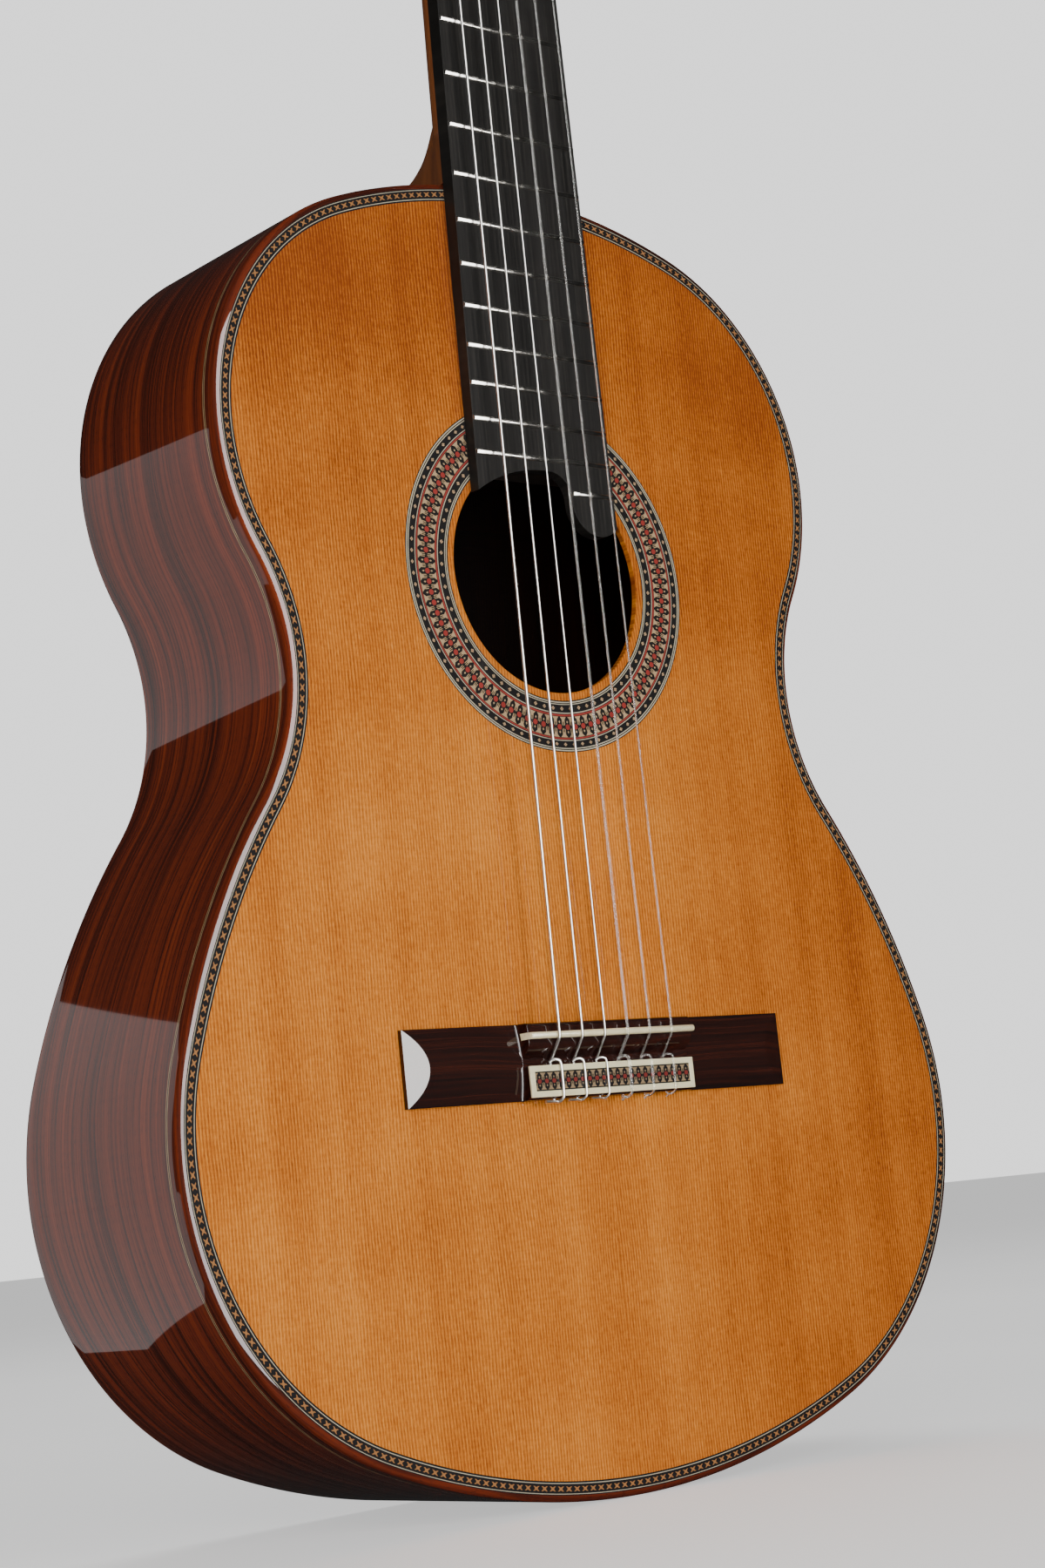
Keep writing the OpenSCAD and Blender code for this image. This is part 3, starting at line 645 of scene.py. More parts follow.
def rosette():
    """Rings of lines, two bands of crosses and the broad band of flowers, repeated round the sound hole."""
    p = varnished("rosette_mosaic")
    x, _, z = p.place()
    up = z - HOLE_Z
    radius = (x * x + up * up).math("SQRT")
    turn = x.math("ARCTAN2", up) * (1 / (2 * pi))
    colour = lines_across(p, radius, *ROSETTE, [
        (47.8, BLACK), (48.2, CREAM), (48.7, BLACK), (49.1, CREAM), (49.35, BLACK), (52.1, BLACK),
        (52.35, CREAM), (52.75, BLACK), (53.05, RED), (53.75, BLACK), (54.0, TAN), (61.7, BLACK),
        (61.95, RED), (62.5, BLACK), (62.75, CREAM), (63.1, BLACK), (65.6, BLACK), (65.75, CREAM),
        (66.1, BLACK), (66.5, CREAM), (66.95, BLACK)])
    for motif, repeats, low, high in ((cross, 75, 49.4, 52.3), (flower, 92, 54.0, 61.7),
                                      (cross, 95, 63.2, 65.7)):
        around = ((turn * repeats).fraction() - 0.5) * 2
        within = radius.above(low) * radius.below(high)
        colour = p.mix(within, colour, motif(p, around, cell(radius, low, high)))
    return p.done(colour)


def edge_mosaic():
    """The purfling round the front: light lines beside a black band of small tan crosses."""
    p = varnished("edge_mosaic")
    run, _, inset = p.along()
    pitch, low, high = 3.8, 3.1, 6.1
    around = ((run * (1 / pitch)).fraction() - 0.5) * 2
    colour = lines_across(p, inset, SIDE, SIDE + PURFLING, [
        (2.4, BLACK), (2.75, CREAM), (3.0, BLACK), (6.3, CREAM), (6.6, BLACK)])
    across = cell(inset, low, high)
    limbs = abs(abs(around) - abs(across)).below(0.2) * abs(across).below(0.56)
    heart = (abs(around) + abs(across)).below(0.42)
    gem = p.mix(limbs.most(heart), BLACK, PURFLING_TAN)
    return p.done(p.mix(inset.above(low) * inset.below(high), colour, gem))


def tie_mosaic():
    """The rosette's flowers in a straight row on the tie block, between black edge lines."""
    p = varnished("tie_mosaic")
    x, _, z = p.place()
    around = ((x * (22 / (2 * (SADDLE_HALF - FRAME_BORDER)))).fraction() - 0.5) * 2
    low, high = TIE[1] + FRAME_BORDER + 0.45, TIE[0] - FRAME_BORDER - 0.45
    within = z.above(low) * z.below(high)
    dusk = p.mix(0.35, flower(p, around, cell(z, low, high)), BLACK)
    return p.done(p.mix(within, BLACK, dusk))


def pale_line():
    """The side's thin inlay: two light lines with a dark one between."""
    p = Paint("pale_line", Roughness=0.6, Specular_IOR_Level=0.1, Coat_Weight=1.0, Coat_Roughness=0.04)
    light = p.ramp(p.clouds(0.2, 2, 0.2, detail=3.0), [(0.3, (0.26, 0.15, 0.06)), (0.7, (0.44, 0.30, 0.15))])
    gap = abs(p.place()[1] - BINDING - SIDE_LINE / 2).below(SIDE_LINE * 0.2)
    return p.done(p.mix(gap, light, (0.03, 0.008, 0.004)))


def bone():
    """Warm white, faintly mottled, polished."""
    p = Paint("bone", Coat_Weight=0.3, Coat_Roughness=0.1)
    tone = p.clouds(0.15, 0.6, 0.6, detail=4.0)
    specks = p.clouds(2, 5, 5, detail=1.0)
    p.set("Roughness", specks * 0.15 + 0.2)
    return p.done(p.ramp(tone * 0.8 + specks * 0.2, [(0.3, (0.84, 0.76, 0.46)), (0.7, (0.96, 0.90, 0.60))]))


def metal(name, colour, dull, roughness=0.22):
    """Polished metal with hairline scratches and a little tarnish."""
    p = Paint(name, Metallic=1.0)
    tarnish = p.clouds(0.3, 0.3, 0.3, detail=4.0)
    hair = p.clouds(0.8, 0.8, 14)
    p.set("Roughness", tarnish * 0.15 + hair * 0.12 + (roughness - 0.12))
    return p.done(p.ramp(tarnish, [(0.35, dull), (0.6, colour)]), hair, 0.08, 0.02)


def wound_string():
    """Silver-plated wire wound round a core, seen as fine bands along the string."""
    p = Paint("wound_string", Metallic=1.0, Roughness=0.33)
    run, _, _ = p.along()
    turns = (run * (2 * pi / 0.4)).sine() * 0.5 + 0.5
    wear = p.noise(run * 0.05, 0.0, 0.0, detail=3.0)
    colour = p.ramp(turns * 0.5 + wear * 0.5, [(0.2, (0.48, 0.46, 0.43)), (0.7, (0.78, 0.76, 0.73))])
    return p.done(colour, turns, 0.25, 0.04)


def nylon():
    """Clear drawn nylon, slightly milky."""
    p = Paint("nylon", Roughness=0.08, IOR=1.28, Transmission_Weight=0.92)
    return p.done(p.ramp(p.clouds(0.5, 0.5, 0.05), [(0.3, (0.80, 0.80, 0.78)), (0.7, (0.95, 0.95, 0.93))]))


def button_black():
    """Polished black composition with a faint marble."""
    p = Paint("button_black", Roughness=0.16, Coat_Weight=0.5, Coat_Roughness=0.05)
    marble = p.clouds(0.25, 0.25, 0.25, detail=5.0, roughness=0.6)
    return p.done(p.ramp(marble, [(0.35, (0.008, 0.008, 0.009)), (0.7, (0.035, 0.031, 0.03))]))


def grain_neck(p):
    x, y, z = p.place()
    return z, x, y


def grain_across(p):
    x, y, z = p.place()
    return x, z, y


CEDAR = cedar()
SIDES = rosewood("rosewood_sides", along_sides, inner_side)
BACK = rosewood("rosewood_back", along_back, facing_front)
VENEER_WOOD = rosewood("rosewood_veneer", along_neck, nowhere)
BRIDGE_WOOD = rosewood("rosewood_bridge", along_bridge, nowhere, shade=0.19)
CEDRELA = plain_wood("cedrela", (0.14, 0.037, 0.008), (0.34, 0.11, 0.026), grain_neck, gloss=0.4,
                     roughness=0.35)
# Painted shade: the woods for the braces, tail block and linings inside the box are darkened copies that
# stand in for the shade there.
SHADED_SPRUCE = plain_wood("spruce", (0.10, 0.055, 0.022), (0.17, 0.11, 0.05), grain_neck, roughness=0.8)
SHADED_SPRUCE_ACROSS = plain_wood("shaded_spruce_across", (0.05, 0.022, 0.008), (0.08, 0.04, 0.015), grain_across,
                           roughness=0.8)
SHADED_LINING = plain_wood("shaded_lining_cedrela", (0.03, 0.011, 0.004), (0.06, 0.024, 0.009), grain_across,
                    roughness=0.8)
EBONY = ebony()
PALE = pale_line()
BONE = bone()
SILVER = metal("fret_wire", (0.62, 0.60, 0.56), (0.44, 0.42, 0.38), roughness=0.2)
BRASS = metal("brass", (0.80, 0.58, 0.25), (0.52, 0.34, 0.13))
WOUND = wound_string()
NYLON = nylon()
BUTTONS = button_black()


# ---- Body ----


def strip(stations, section, closed=False):
    """A strip along the outline, and the distances its material needs. Section gives its (inset, depth)
    corners at a place."""
    rings, along = [], []
    for run, x, z, sine, cosine in stations:
        corners = section(x, z)
        rings.append([(x - inset * sine, depth, z + inset * cosine) for inset, depth in corners])
        along += [(run * MM, depth * MM, inset * MM) for inset, depth in corners]
    return skin(rings, closed), along


def ring_piece(name, section, material, slot, replaced):
    """A strip round the whole outline."""
    shape, along = strip(full_outline(), section, closed=True)
    piece(name, shape, material, replaces=[replaced], slot=slot, along=along)


def front_binding(x, z):
    """Corners of the front binding: an eased slope, then a small round down to its side."""
    low, high = (radians(a) for a in EDGE_SLOPE)
    slope = [(SIDE - EDGE_ROUND * (sin(t) - sin(low)), EDGE_ROUND * (cos(low) - cos(t)))
             for t in evenly(low, high, 4)]
    inset, depth = slope[-1]
    small = inset / (1 - sin(high))
    corner = [(small - small * sin(t), depth + small * (cos(high) - cos(t)))
              for t in evenly(high, pi / 2, 4)[1:]]
    return slope + corner + [(0, BINDING), (SIDE, BINDING)]


def back_binding(x, z):
    edge = back_depth(x, z)
    corner = [(CORNER - CORNER * cos(t), edge - CORNER + CORNER * sin(t))
              for t in (radians(a) for a in range(0, 91, 15))]
    return [(0, edge - BINDING)] + corner + [(SIDE, back_depth(x * (1 - SIDE / 200), z)),
                                             (SIDE, edge - BINDING)]


def side_section(x, z):
    """Corners of a side, whose front edge is rebated for the thin line."""
    end = back_depth(x, z) - BINDING
    start = BINDING + SIDE_LINE
    steps = evenly(start, end, 8)
    return [(0, y) for y in steps] + [(SIDE, y) for y in steps[::-1]] + [
        (SIDE, BINDING), (SIDE_LINE_WIDTH, BINDING), (SIDE_LINE_WIDTH, start)]


def side_piece(name, side):
    """A bent side, from the tail end to the heel end."""
    stations = half_outline(first_x=GRAFT_HALF, last_x=SIDE_END)
    shape, along = strip(on_side(side, stations), side_section)
    piece("bent_" + name, shape, SIDES, replaces=[name], slot="rosewood", along=along)


def build_soundboard():
    """The front, with the channels for the rosette and the purfling, in rings about the sound hole."""
    cedar_edge = SIDE + PURFLING
    rings = []
    for _, x, z, sine, cosine in full_outline():
        rim_x, rim_z = x - cedar_edge * sine, z + cedar_edge * cosine
        turn = atan2(rim_x, rim_z - HOLE_Z)
        low_x, low_z = x - SIDE * sine, z + SIDE * cosine
        rings.append([(r * sin(turn), y, HOLE_Z + r * cos(turn)) for r, y in (
            (HOLE_RADIUS, PLATE), (HOLE_RADIUS, HOLE_EASE), (HOLE_RADIUS + HOLE_EASE, 0), (ROSETTE[0], 0),
            (ROSETTE[0], INLAY), (ROSETTE[1], INLAY), (ROSETTE[1], 0))] + [
            (rim_x, 0, rim_z), (rim_x, INLAY, rim_z), (low_x, INLAY, low_z), (low_x, PLATE, low_z)])
    piece("cedar_front", skin(rings, closed=True), CEDAR, replaces=["soundboard"], slot="cedar")


def build_rosette():
    inner, outer = ROSETTE
    rings = [[(r * sin(t), y, HOLE_Z + r * cos(t))
              for r, y in ((inner, 0), (outer, 0), (outer, INLAY), (inner, INLAY))] for t in circle(256)]
    piece("rosette_inlay", skin(rings, closed=True), rosette(), replaces=["rosette"], slot="mosaic")


def back_plate(name, side):
    """Half of the arched back, in rows across from the centre strip to the binding."""
    rings = []
    for _, x, z, heading in half_outline(first_x=GRAFT_HALF, last_x=GRAFT_HALF):
        edge, height = x - SIDE * sin(heading), z + SIDE * cos(heading)
        xs = evenly(STRIP_HALF, edge, 16)
        rings.append([(side * c, back_depth(c, height), height) for c in xs]
                     + [(side * c, back_depth(c, height, PLATE), height) for c in xs[::-1]])
    piece("arched_" + name, skin(rings), BACK, replaces=[name], slot="rosewood")


def build_centre_strip():
    rings = [[(x, back_depth(x, z, lift), z) for x, lift in rectangle(STRIP_HALF, 0, PLATE)]
             for z in evenly(TAIL_Z + SIDE, JOINT_Z - SIDE, 60)]
    piece("centre_strip", skin(rings), PALE, replaces=["back_centre_strip"], slot="pale_line")


def build_end_graft():
    stations = [row for row in half_outline(step=1.0) if row[1] <= GRAFT_HALF and row[0] < 2 * GRAFT_HALF]
    shape, _ = strip(on_side(-1, stations[:0:-1]) + on_side(1, stations), side_section)
    piece("end_inlay", shape, VENEER_WOOD, replaces=["end_graft"], slot="rosewood")


def build_body():
    build_soundboard()
    build_rosette()
    ring_piece("edge_purfling", lambda x, z: [(SIDE, 0), (SIDE + PURFLING, 0), (SIDE + PURFLING, INLAY),
                                              (SIDE, INLAY)], edge_mosaic(), "mosaic", "top_purfling")
    ring_piece("front_binding", front_binding, SIDES, "rosewood", "top_binding")
    ring_piece("rear_binding", back_binding, SIDES, "rosewood", "back_binding")
    ring_piece("side_line", lambda x, z: [(0, BINDING), (0, BINDING + SIDE_LINE),
                                          (SIDE_LINE_WIDTH, BINDING + SIDE_LINE),
                                          (SIDE_LINE_WIDTH, BINDING)], PALE, "pale_line", "side_purfling")
    for name, side in (("side_bass", -1), ("side_treble", 1)):
        side_piece(name, side)
    for name, side in (("back_bass", -1), ("back_treble", 1)):
        back_plate(name, side)
    build_centre_strip()
    build_end_graft()
    # The parts inside the box take the darkened woods, which paint the shade inside.
    for name, material in (("linings", SHADED_LINING), ("tail_block", SHADED_SPRUCE), ("top_braces", SHADED_SPRUCE),
                           ("back_braces", SHADED_SPRUCE_ACROSS)):
        keep_node(name, material, bevel=0.3)


# ---- Neck ----


def heel_half(y, s):
    """Half width of the heel at a depth and at a distance from the joint."""
    cap_length, cap_width, _ = CAP
    at_joint = cap_width / 2 + (JOINT_WIDTH / 2 - cap_width / 2) * max(0, 1 - y / HEEL_DEPTH) ** HEEL_TAPER
    share = min(1, (HEEL_DEPTH - y) / (HEEL_DEPTH - SHAFT[1]))
    reach = cap_length + (HEEL_LENGTH - cap_length) * share ** HEEL_SWEEP
    return at_joint * sqrt(max(0, 1 - (s / reach) ** 2))


def heel_bottom(s):
    """Depth of the heel's curve at a distance from the joint."""
    share = max(0, s - CAP[0]) / (HEEL_LENGTH - CAP[0])
    return HEEL_DEPTH - (HEEL_DEPTH - SHAFT[1]) * min(1, share) ** (1 / HEEL_SWEEP)


def shaft_depth(d):
    length, rise = SWELL
    swell = rise * ((length - d) / (length + NUT)) ** 2 if d < length else 0
    return SHAFT[0] + (SHAFT[1] - SHAFT[0]) * min(1, max(0, d) / (SCALE / 2 - HEEL_LENGTH)) + swell


def shaft_half(y, d):
    length, rise = SQUARING
    power = SHAFT_POWER + (rise * ((length - d) / (length + NUT)) ** 2 if d < length else 0)
    return board_half(d) * (1 - min(1, y / shaft_depth(d)) ** power) ** (1 / power)


def neck_ring(d, columns=26):
    """The neck's section at a distance from the nut: a flattened round that becomes the heel."""
    s = max(0, SCALE / 2 - d)
    bottom = max(heel_bottom(s), shaft_depth(d)) if s < HEEL_LENGTH else shaft_depth(d)
    depths = [bottom * sin(t) for t in evenly(0, pi / 2, columns)]
    side = [(max(shaft_half(y, d), heel_half(y, s) if s < HEEL_LENGTH else 0, 0.02), y) for y in depths]
    return [(w, y, -d) for w, y in side] + [(-w, y, -d) for w, y in side[::-1]]


def build_neck():
    joint = SCALE / 2
    heel = [joint - CAP[0] - (HEEL_LENGTH - CAP[0]) * (1 - k / 22) ** HEEL_SWEEP for k in range(15)]
    stations = [-NUT, -2, 0, 3, 6, 9, 12, 15, 18, 22, 28] + list(range(40, int(joint - HEEL_LENGTH), 12))
    stations += heel + [joint - s for s in (17.85, 14, 10, 6, 3, 0)]
    rings = [[leaned(p) for p in neck_ring(d)] for d in stations]
    rings[-1] = [(x, y, outline_top(x) + 0.02) for x, y, z in rings[-1]]
    half, reach = FOOT
    low, high = JOINT_Z - reach, JOINT_Z - SIDE - 1.5
    foot = skin([[(x, y, z) for x, y in rectangle(half, PLATE, back_depth(half, z, PLATE))]
                 for z in (low, high)])
    piece("neck_and_heel", merge(skin(rings), foot), CEDRELA, replaces=["neck"], slot="cedrela", sharp=42)
    length, width, thick = CAP
    rim = [(width / 2 * cos(radians(a)), JOINT_Z + length * sin(radians(a))) for a in range(0, 181, 6)]
    inner = [(x, outline_top(x)) for x in (-7, 0, 7)]
    piece("heel_plate", prism([rim + inner], HEEL_DEPTH - thick, HEEL_DEPTH), VENEER_WOOD,
          replaces=["heel_cap"], slot="rosewood", bevel=0.4)


def board_outline():
    """The fingerboard's outline: straight sides, a hollow end and the tongue for the highest fret."""
    end, end_radius, step_x, tongue = 437.5, 59.5, 2.5, 12.5
    right = board_half(-HOLE_Z)
    left_turn = asin(board_half(end) / end_radius)
    right_turn = asin(step_x / end_radius)
    hollow = [(end_radius * sin(a), -end - end_radius * (1 - cos(a)))
              for a in evenly(-left_turn, right_turn, 24)]
    fillet = arc((step_x, HOLE_Z + 29.5), 10, 80, 0, 10)
    stop = degrees(acos((right - 2 * tongue) / tongue))
    tip = arc((2 * tongue, HOLE_Z + 28.5), tongue, 180, 360 - stop, 24)
    frets = [fret_distance(n) for n in range(1, LAST_FRET + 1)] + [SCALE / 2]
    left = [(-board_half(d), -d) for d in sorted(frets) if d < end - 12]
    right_side = [(board_half(d), -d) for d in sorted(frets, reverse=True)]
    return [(-NUT_WIDTH / 2, 0)] + left + hollow + fillet + tip + right_side + [(NUT_WIDTH / 2, 0)]


def build_fingerboard():
    shape = moved(prism([board_outline()], -BOARD, 0), leaned)
    flush = [(x, min(y, 0) if y > -BOARD / 2 else y, z) for x, y, z in shape[0]]
    piece("ebony_board", (flush, shape[1]), EBONY, replaces=["fingerboard"], slot="ebony", bevel=0.45)


def fret_wire(number):
    """One fret: a half-round crown with its ends filed back."""
    d = fret_distance(number)
    half = board_half(d) - 0.25
    start = 12.8 if number > LAST_FRET else -half
    turns, rings = evenly(0, pi, 12), []
    for x, height in ((start, 0.35), (start + 0.5, 1), (half - 0.5, 1), (half, 0.35)):
        rings.append([leaned((x, -BOARD - FRET_HEIGHT * height * sin(t), -d - FRET_HALF * cos(t)))
                      for t in turns] + [leaned((x, -BOARD + 0.3, -d + FRET_HALF)),
                                         leaned((x, -BOARD + 0.3, -d - FRET_HALF))])
    return skin(rings)


def build_frets():
    wires = merge(*[fret_wire(n) for n in range(1, LAST_FRET + 2)])
    piece("fret_wires", wires, SILVER, replaces=["frets"], slot="fret_wire", sharp=50)
    keep_node("nut", BONE, bevel=0.25)


# ---- Head and tuners ----


def head_outline():
    flare = [(board_half(0) + (HEAD_HALF - board_half(0)) * (1 - cos(a)), 6 + 20 * sin(a))
             for a in evenly(0, pi / 2, 12)[2:]]
    shoulder = [(HEAD_HALF + 10 * cos(radians(a)), HEAD_LENGTH - 14 + 10 * sin(radians(a)))
                for a in range(270, 179, -9)]
    crest = [((HEAD_HALF - 10) * (1 - t), HEAD_LENGTH - 14 * (1 - t) ** 2) for t in evenly(0, 1, 16)[1:]]
    right = [(board_half(0), 0)] + flare + shoulder + crest
    return right + [(-x, z) for x, z in right[-2::-1]]


def head_slot(side):
    middle, radius = sum(SLOT_X) / 2 * side, (SLOT_X[1] - SLOT_X[0]) / 2
    return arc((middle, SLOT_Z[1] - radius), radius, 0, 180, 20) + arc(
        (middle, SLOT_Z[0] + radius), radius, 180, 360, 20)


def head_plate(front, back):
    """A layer of the head, cut off square where the nut stands."""
    points, faces = prism([head_outline(), head_slot(1), head_slot(-1)], front, back)
    clear = [(x, y, max(z, (NUT + 0.02 + y * sin(HEAD_LEAN)) / cos(HEAD_LEAN))) for x, y, z in points]
    return [on_head(p) for p in clear], faces


def build_head():
    piece("slotted_head", head_plate(0, HEAD_THICK), CEDRELA, replaces=["headstock"], slot="cedrela",
          bevel=0.8, sharp=50)
    piece("head_face", head_plate(-VENEER, 0), VENEER_WOOD, replaces=["head_veneer"], slot="rosewood",
          bevel=0.5, sharp=50)


def to_side(i, shape, x, y, z):
    """Puts a shape made about X beside the head of string i, mirrored on the bass side."""
    return moved(shape, lambda p: on_head((side_of(i) * (x + p[0]), y + p[1], z + p[2])))


def slotted_screw(radius, height):
    """A domed screw head along X with a driver's slot across it."""
    slot = 0.14 * radius
    loop = [(radius * cos(t), max(radius * sin(t), slot)) for t in evenly(0, pi, 12)]
    halves = [skin([[(height * 0.3, y * side, z * side) for y, z in loop],
                    [(height, y * 0.82 * side, max(z * 0.82, slot) * side) for y, z in loop]])
              for side in (-1, 1)]
    return merge(lathe([(0, radius), (height * 0.35, radius)], 24), *halves)


def tuner_plate(i):
    """A brass side plate with round corners and three pairs of lugs that hold the worms."""
    first, last = ROLLER_Z[0] - 25, ROLLER_Z[2] + 16
    half, corner = 7.5, 3.0
    outline = []
    for y, z, start in ((half - corner, last - corner, 0), (corner - half, last - corner, 90),
                        (corner - half, first + corner, 180), (half - corner, first + corner, 270)):
        outline += arc((y, z), corner, start, start + 90, 8)
    parts = [moved(prism([outline], 0, TUNER_PLATE),
                   lambda p: (HEAD_HALF + p[1], ROLLER_DEPTH + p[0], p[2]))]
    for z in ROLLER_Z:
        for y0 in (ROLLER_DEPTH - 6.8, ROLLER_DEPTH + 5.2):
            lug = arc((WORM_X - 0.6, z - WORM_DROP), 3.0, -90, 90, 16) + [
                (HEAD_HALF + 0.6, z - WORM_DROP + LUG_HALF), (HEAD_HALF + 0.6, z - WORM_DROP - LUG_HALF)]
            parts.append(prism([lug], y0, y0 + 1.6))
    return moved(merge(*parts), lambda p: on_head((side_of(i) * p[0], p[1], p[2])))


def worm(i):
    """The threaded worm on its shaft. The thread is right-handed on both sides."""
    half, rings = 5.0, []
    for y in evenly(-half, half, 76):
        fade = min(1, (half - abs(y)) / 1.2)
        ring = []
        for turn in circle(28):
            wave = abs((y / THREAD - side_of(i) * turn / (2 * pi)) % 1 - 0.5) * 2
            radius = 1.9 + (WORM_RADIUS - 1.9) * fade * min(1, max(0, 1.7 * wave - 0.35))
            ring.append((radius * cos(turn), y, radius * sin(turn)))
        rings.append(ring)
    shaft = skin([[(WORM_SHAFT * cos(t), y, WORM_SHAFT * sin(t)) for t in circle(20)] for y in (-6.8, 14)])
    return to_side(i, merge(skin(rings), shaft), WORM_X, ROLLER_DEPTH, roller_height(i) - WORM_DROP)


def button(i):
    """A flat oval knob with a rounded rim and a short neck."""
    length = BUTTON[1] - BUTTON[0]
    profile = [(0, 2.6, 2.6), (0.6, 3.0, 3.0), (2.0, 3.1, 2.9), (3.4, 4.2, 3.2)]
    for share in evenly(0.16, 0.995, 18):
        turn = pi * share
        y = 3.6 + (length - 3.6) * (1 - cos(turn)) / 2
        wide = 0.6 + (BUTTON_HALF - 0.6) * sin(turn) ** 0.72
        thick = 0.5 + (BUTTON_THICK - 0.9) * sin(turn) ** 0.5
        profile.append((y, wide, thick))
    rings = []
    for y, wide, thick in profile:
        ring = []
        for t in circle(36):
            c, s = cos(t), sin(t)
            ring.append((copysign(abs(c) ** 0.8, c) * thick, y, copysign(abs(s) ** 0.9, s) * wide))
        rings.append(ring)
    return to_side(i, skin(rings), WORM_X, BUTTON[0], roller_height(i) - WORM_DROP)


def gear(i):
    """A toothed wheel with a round boss under its screw."""
    outline = []
    for k in range(TEETH):
        for part, rise in ((0, 0), (0.16, 0.55), (0.24, 1), (0.44, 1), (0.52, 0.55), (0.68, 0)):
            t, r = 2 * pi * (k + part) / TEETH, GEAR_RADIUS - 1.5 * (1 - rise)
            outline.append((r * cos(t), r * sin(t)))
    wheel = moved(prism([outline], 0, GEAR_THICK), lambda p: (p[1], p[0], p[2]))
    boss = lathe([(GEAR_THICK - 0.2, 3.6), (GEAR_THICK - 0.05, 3.5)], 32)
    return to_side(i, merge(wheel, boss), GEAR_X, ROLLER_DEPTH, roller_height(i))


def gear_screw(i):
    return to_side(i, slotted_screw(2.4, 1.0), GEAR_X + GEAR_THICK - 0.05, ROLLER_DEPTH, roller_height(i))


def winding(i):
    """The string's turns on its roller, ending in the roller's hole."""
    r = STRING_RADII[i - 1]
    reach, turns, steps = ROLLER_RADIUS + r + 0.15, 3.75, 28
    x = ROLLER_PLACES[rank(i)]
    path = []
    for k in range(int(turns * steps) + 1):
        t = 2 * pi * k / steps
        path.append((x + (2 * r + 0.06) * k / steps, -reach * cos(t), reach * sin(t)))
    x, y, z = path[-1]
    path += [(x + 0.5, y * 0.9, z * 0.9), (x + 0.6, y * 0.55, z * 0.55)]
    return to_side(i, tube(rounded(path, 0.4, 2), r, 8), 0, ROLLER_DEPTH, roller_height(i))


def string_look(i):
    """A string's material and slot: the three thin ones are plain nylon."""
    return (NYLON, "nylon") if i <= 3 else (WOUND, "wound_string")


def build_tuners():
    for name, i in (("tuner_plate_bass", 6), ("tuner_plate_treble", 1)):
        piece(name + "_brass", tuner_plate(i), BRASS, replaces=[name], slot="brass", bevel=0.25)
    heads = []
    for i in (1, 6):
        for z in (ROLLER_Z[0] - 20, ROLLER_Z[1] - 16, ROLLER_Z[1] + 19, ROLLER_Z[2] + 11):
            heads.append(to_side(i, slotted_screw(2.0, 0.8), HEAD_HALF + TUNER_PLATE, ROLLER_DEPTH, z))
    piece("plate_screws", merge(*heads), BRASS, replaces=["tuner_screws"], slot="brass")
    for i in range(1, 7):
        worm_body, roller_body = f"worm_{i}", f"roller_{i}"
        piece(f"threaded_worm_{i}", worm(i), BRASS, worm_body, [f"tuner_worm_{i}"], "brass")
        piece(f"oval_button_{i}", button(i), BUTTONS, worm_body, [f"tuner_button_{i}"], "button", sharp=60)
        piece(f"gear_wheel_{i}", gear(i), BRASS, roller_body, [f"tuner_gear_{i}"], "brass", bevel=0.15)
        piece(f"gear_screw_{i}", gear_screw(i), BRASS, roller_body, slot="brass")
        barrel = lathe([(SLOT_X[0] + 1.4, ROLLER_RADIUS - 0.3), (SLOT_X[0] + 1.7, ROLLER_RADIUS),
                        (HEAD_HALF - 0.4, ROLLER_RADIUS), (HEAD_HALF - 0.1, ROLLER_RADIUS - 0.3)])
        spindle = lathe([(SLOT_X[0] - 3.6, 2.2), (SLOT_X[0] - 3.3, 2.5), (SLOT_X[0] + 1.5, 2.5),
                         (SLOT_X[0] + 1.6, 2.0), (GEAR_X + 0.1, 2.0)])
        place = (0, ROLLER_DEPTH, roller_height(i))
        piece(f"roller_barrel_{i}", to_side(i, barrel, *place), BONE, roller_body,
              [f"tuner_roller_{i}"], "roller")
        piece(f"roller_spindle_{i}", to_side(i, spindle, *place), BRASS, roller_body, slot="brass")
        material, slot = string_look(i)
        piece(f"string_winding_{i}", winding(i), material, roller_body, slot=slot)


# ---- Bridge and strings ----


def wing_depth(z):
    """Depth of the wings' arched surface."""
    half = (BRIDGE_FRONT - BRIDGE_BACK) / 2
    rise = WING_CROWN - WING_EDGE
    radius = (half * half + rise * rise) / (2 * rise)
    away = z - (BRIDGE_FRONT + BRIDGE_BACK) / 2
    return radius - WING_CROWN - sqrt(radius * radius - away * away)


def bridge_wings():
    """The low plate of the bridge, arched across its width, with its ends cut down to a thin edge."""
    arch = [(wing_depth(z), z) for z in evenly(BRIDGE_FRONT, BRIDGE_BACK, 56)]
    loop = [(0, BRIDGE_FRONT)] + arch + [(0, BRIDGE_BACK)]
    mesh = bmesh.new()
    ends = [[mesh.verts.new((x, y, z)) for y, z in loop] for x in (-BRIDGE_HALF, BRIDGE_HALF)]
    for k in range(len(loop)):
        after = (k + 1) % len(loop)
        mesh.faces.new((ends[0][k], ends[0][after], ends[1][after], ends[1][k]))
    mesh.faces.new(ends[0][::-1])
    mesh.faces.new(ends[1])
    fall = (WING_CROWN - WING_EDGE) / WING_SLOPE
    for side in (-1, 1):
        cut = bmesh.ops.bisect_plane(
            mesh, geom=mesh.verts[:] + mesh.edges[:] + mesh.faces[:],
            plane_co=(side * BRIDGE_HALF, -WING_EDGE, 0), plane_no=(side * fall, -1, 0), clear_outer=True)
        rim = [item for item in cut["geom_cut"] if isinstance(item, bmesh.types.BMEdge)]
        bmesh.ops.contextual_create(mesh, geom=rim)
    return from_bmesh(mesh)


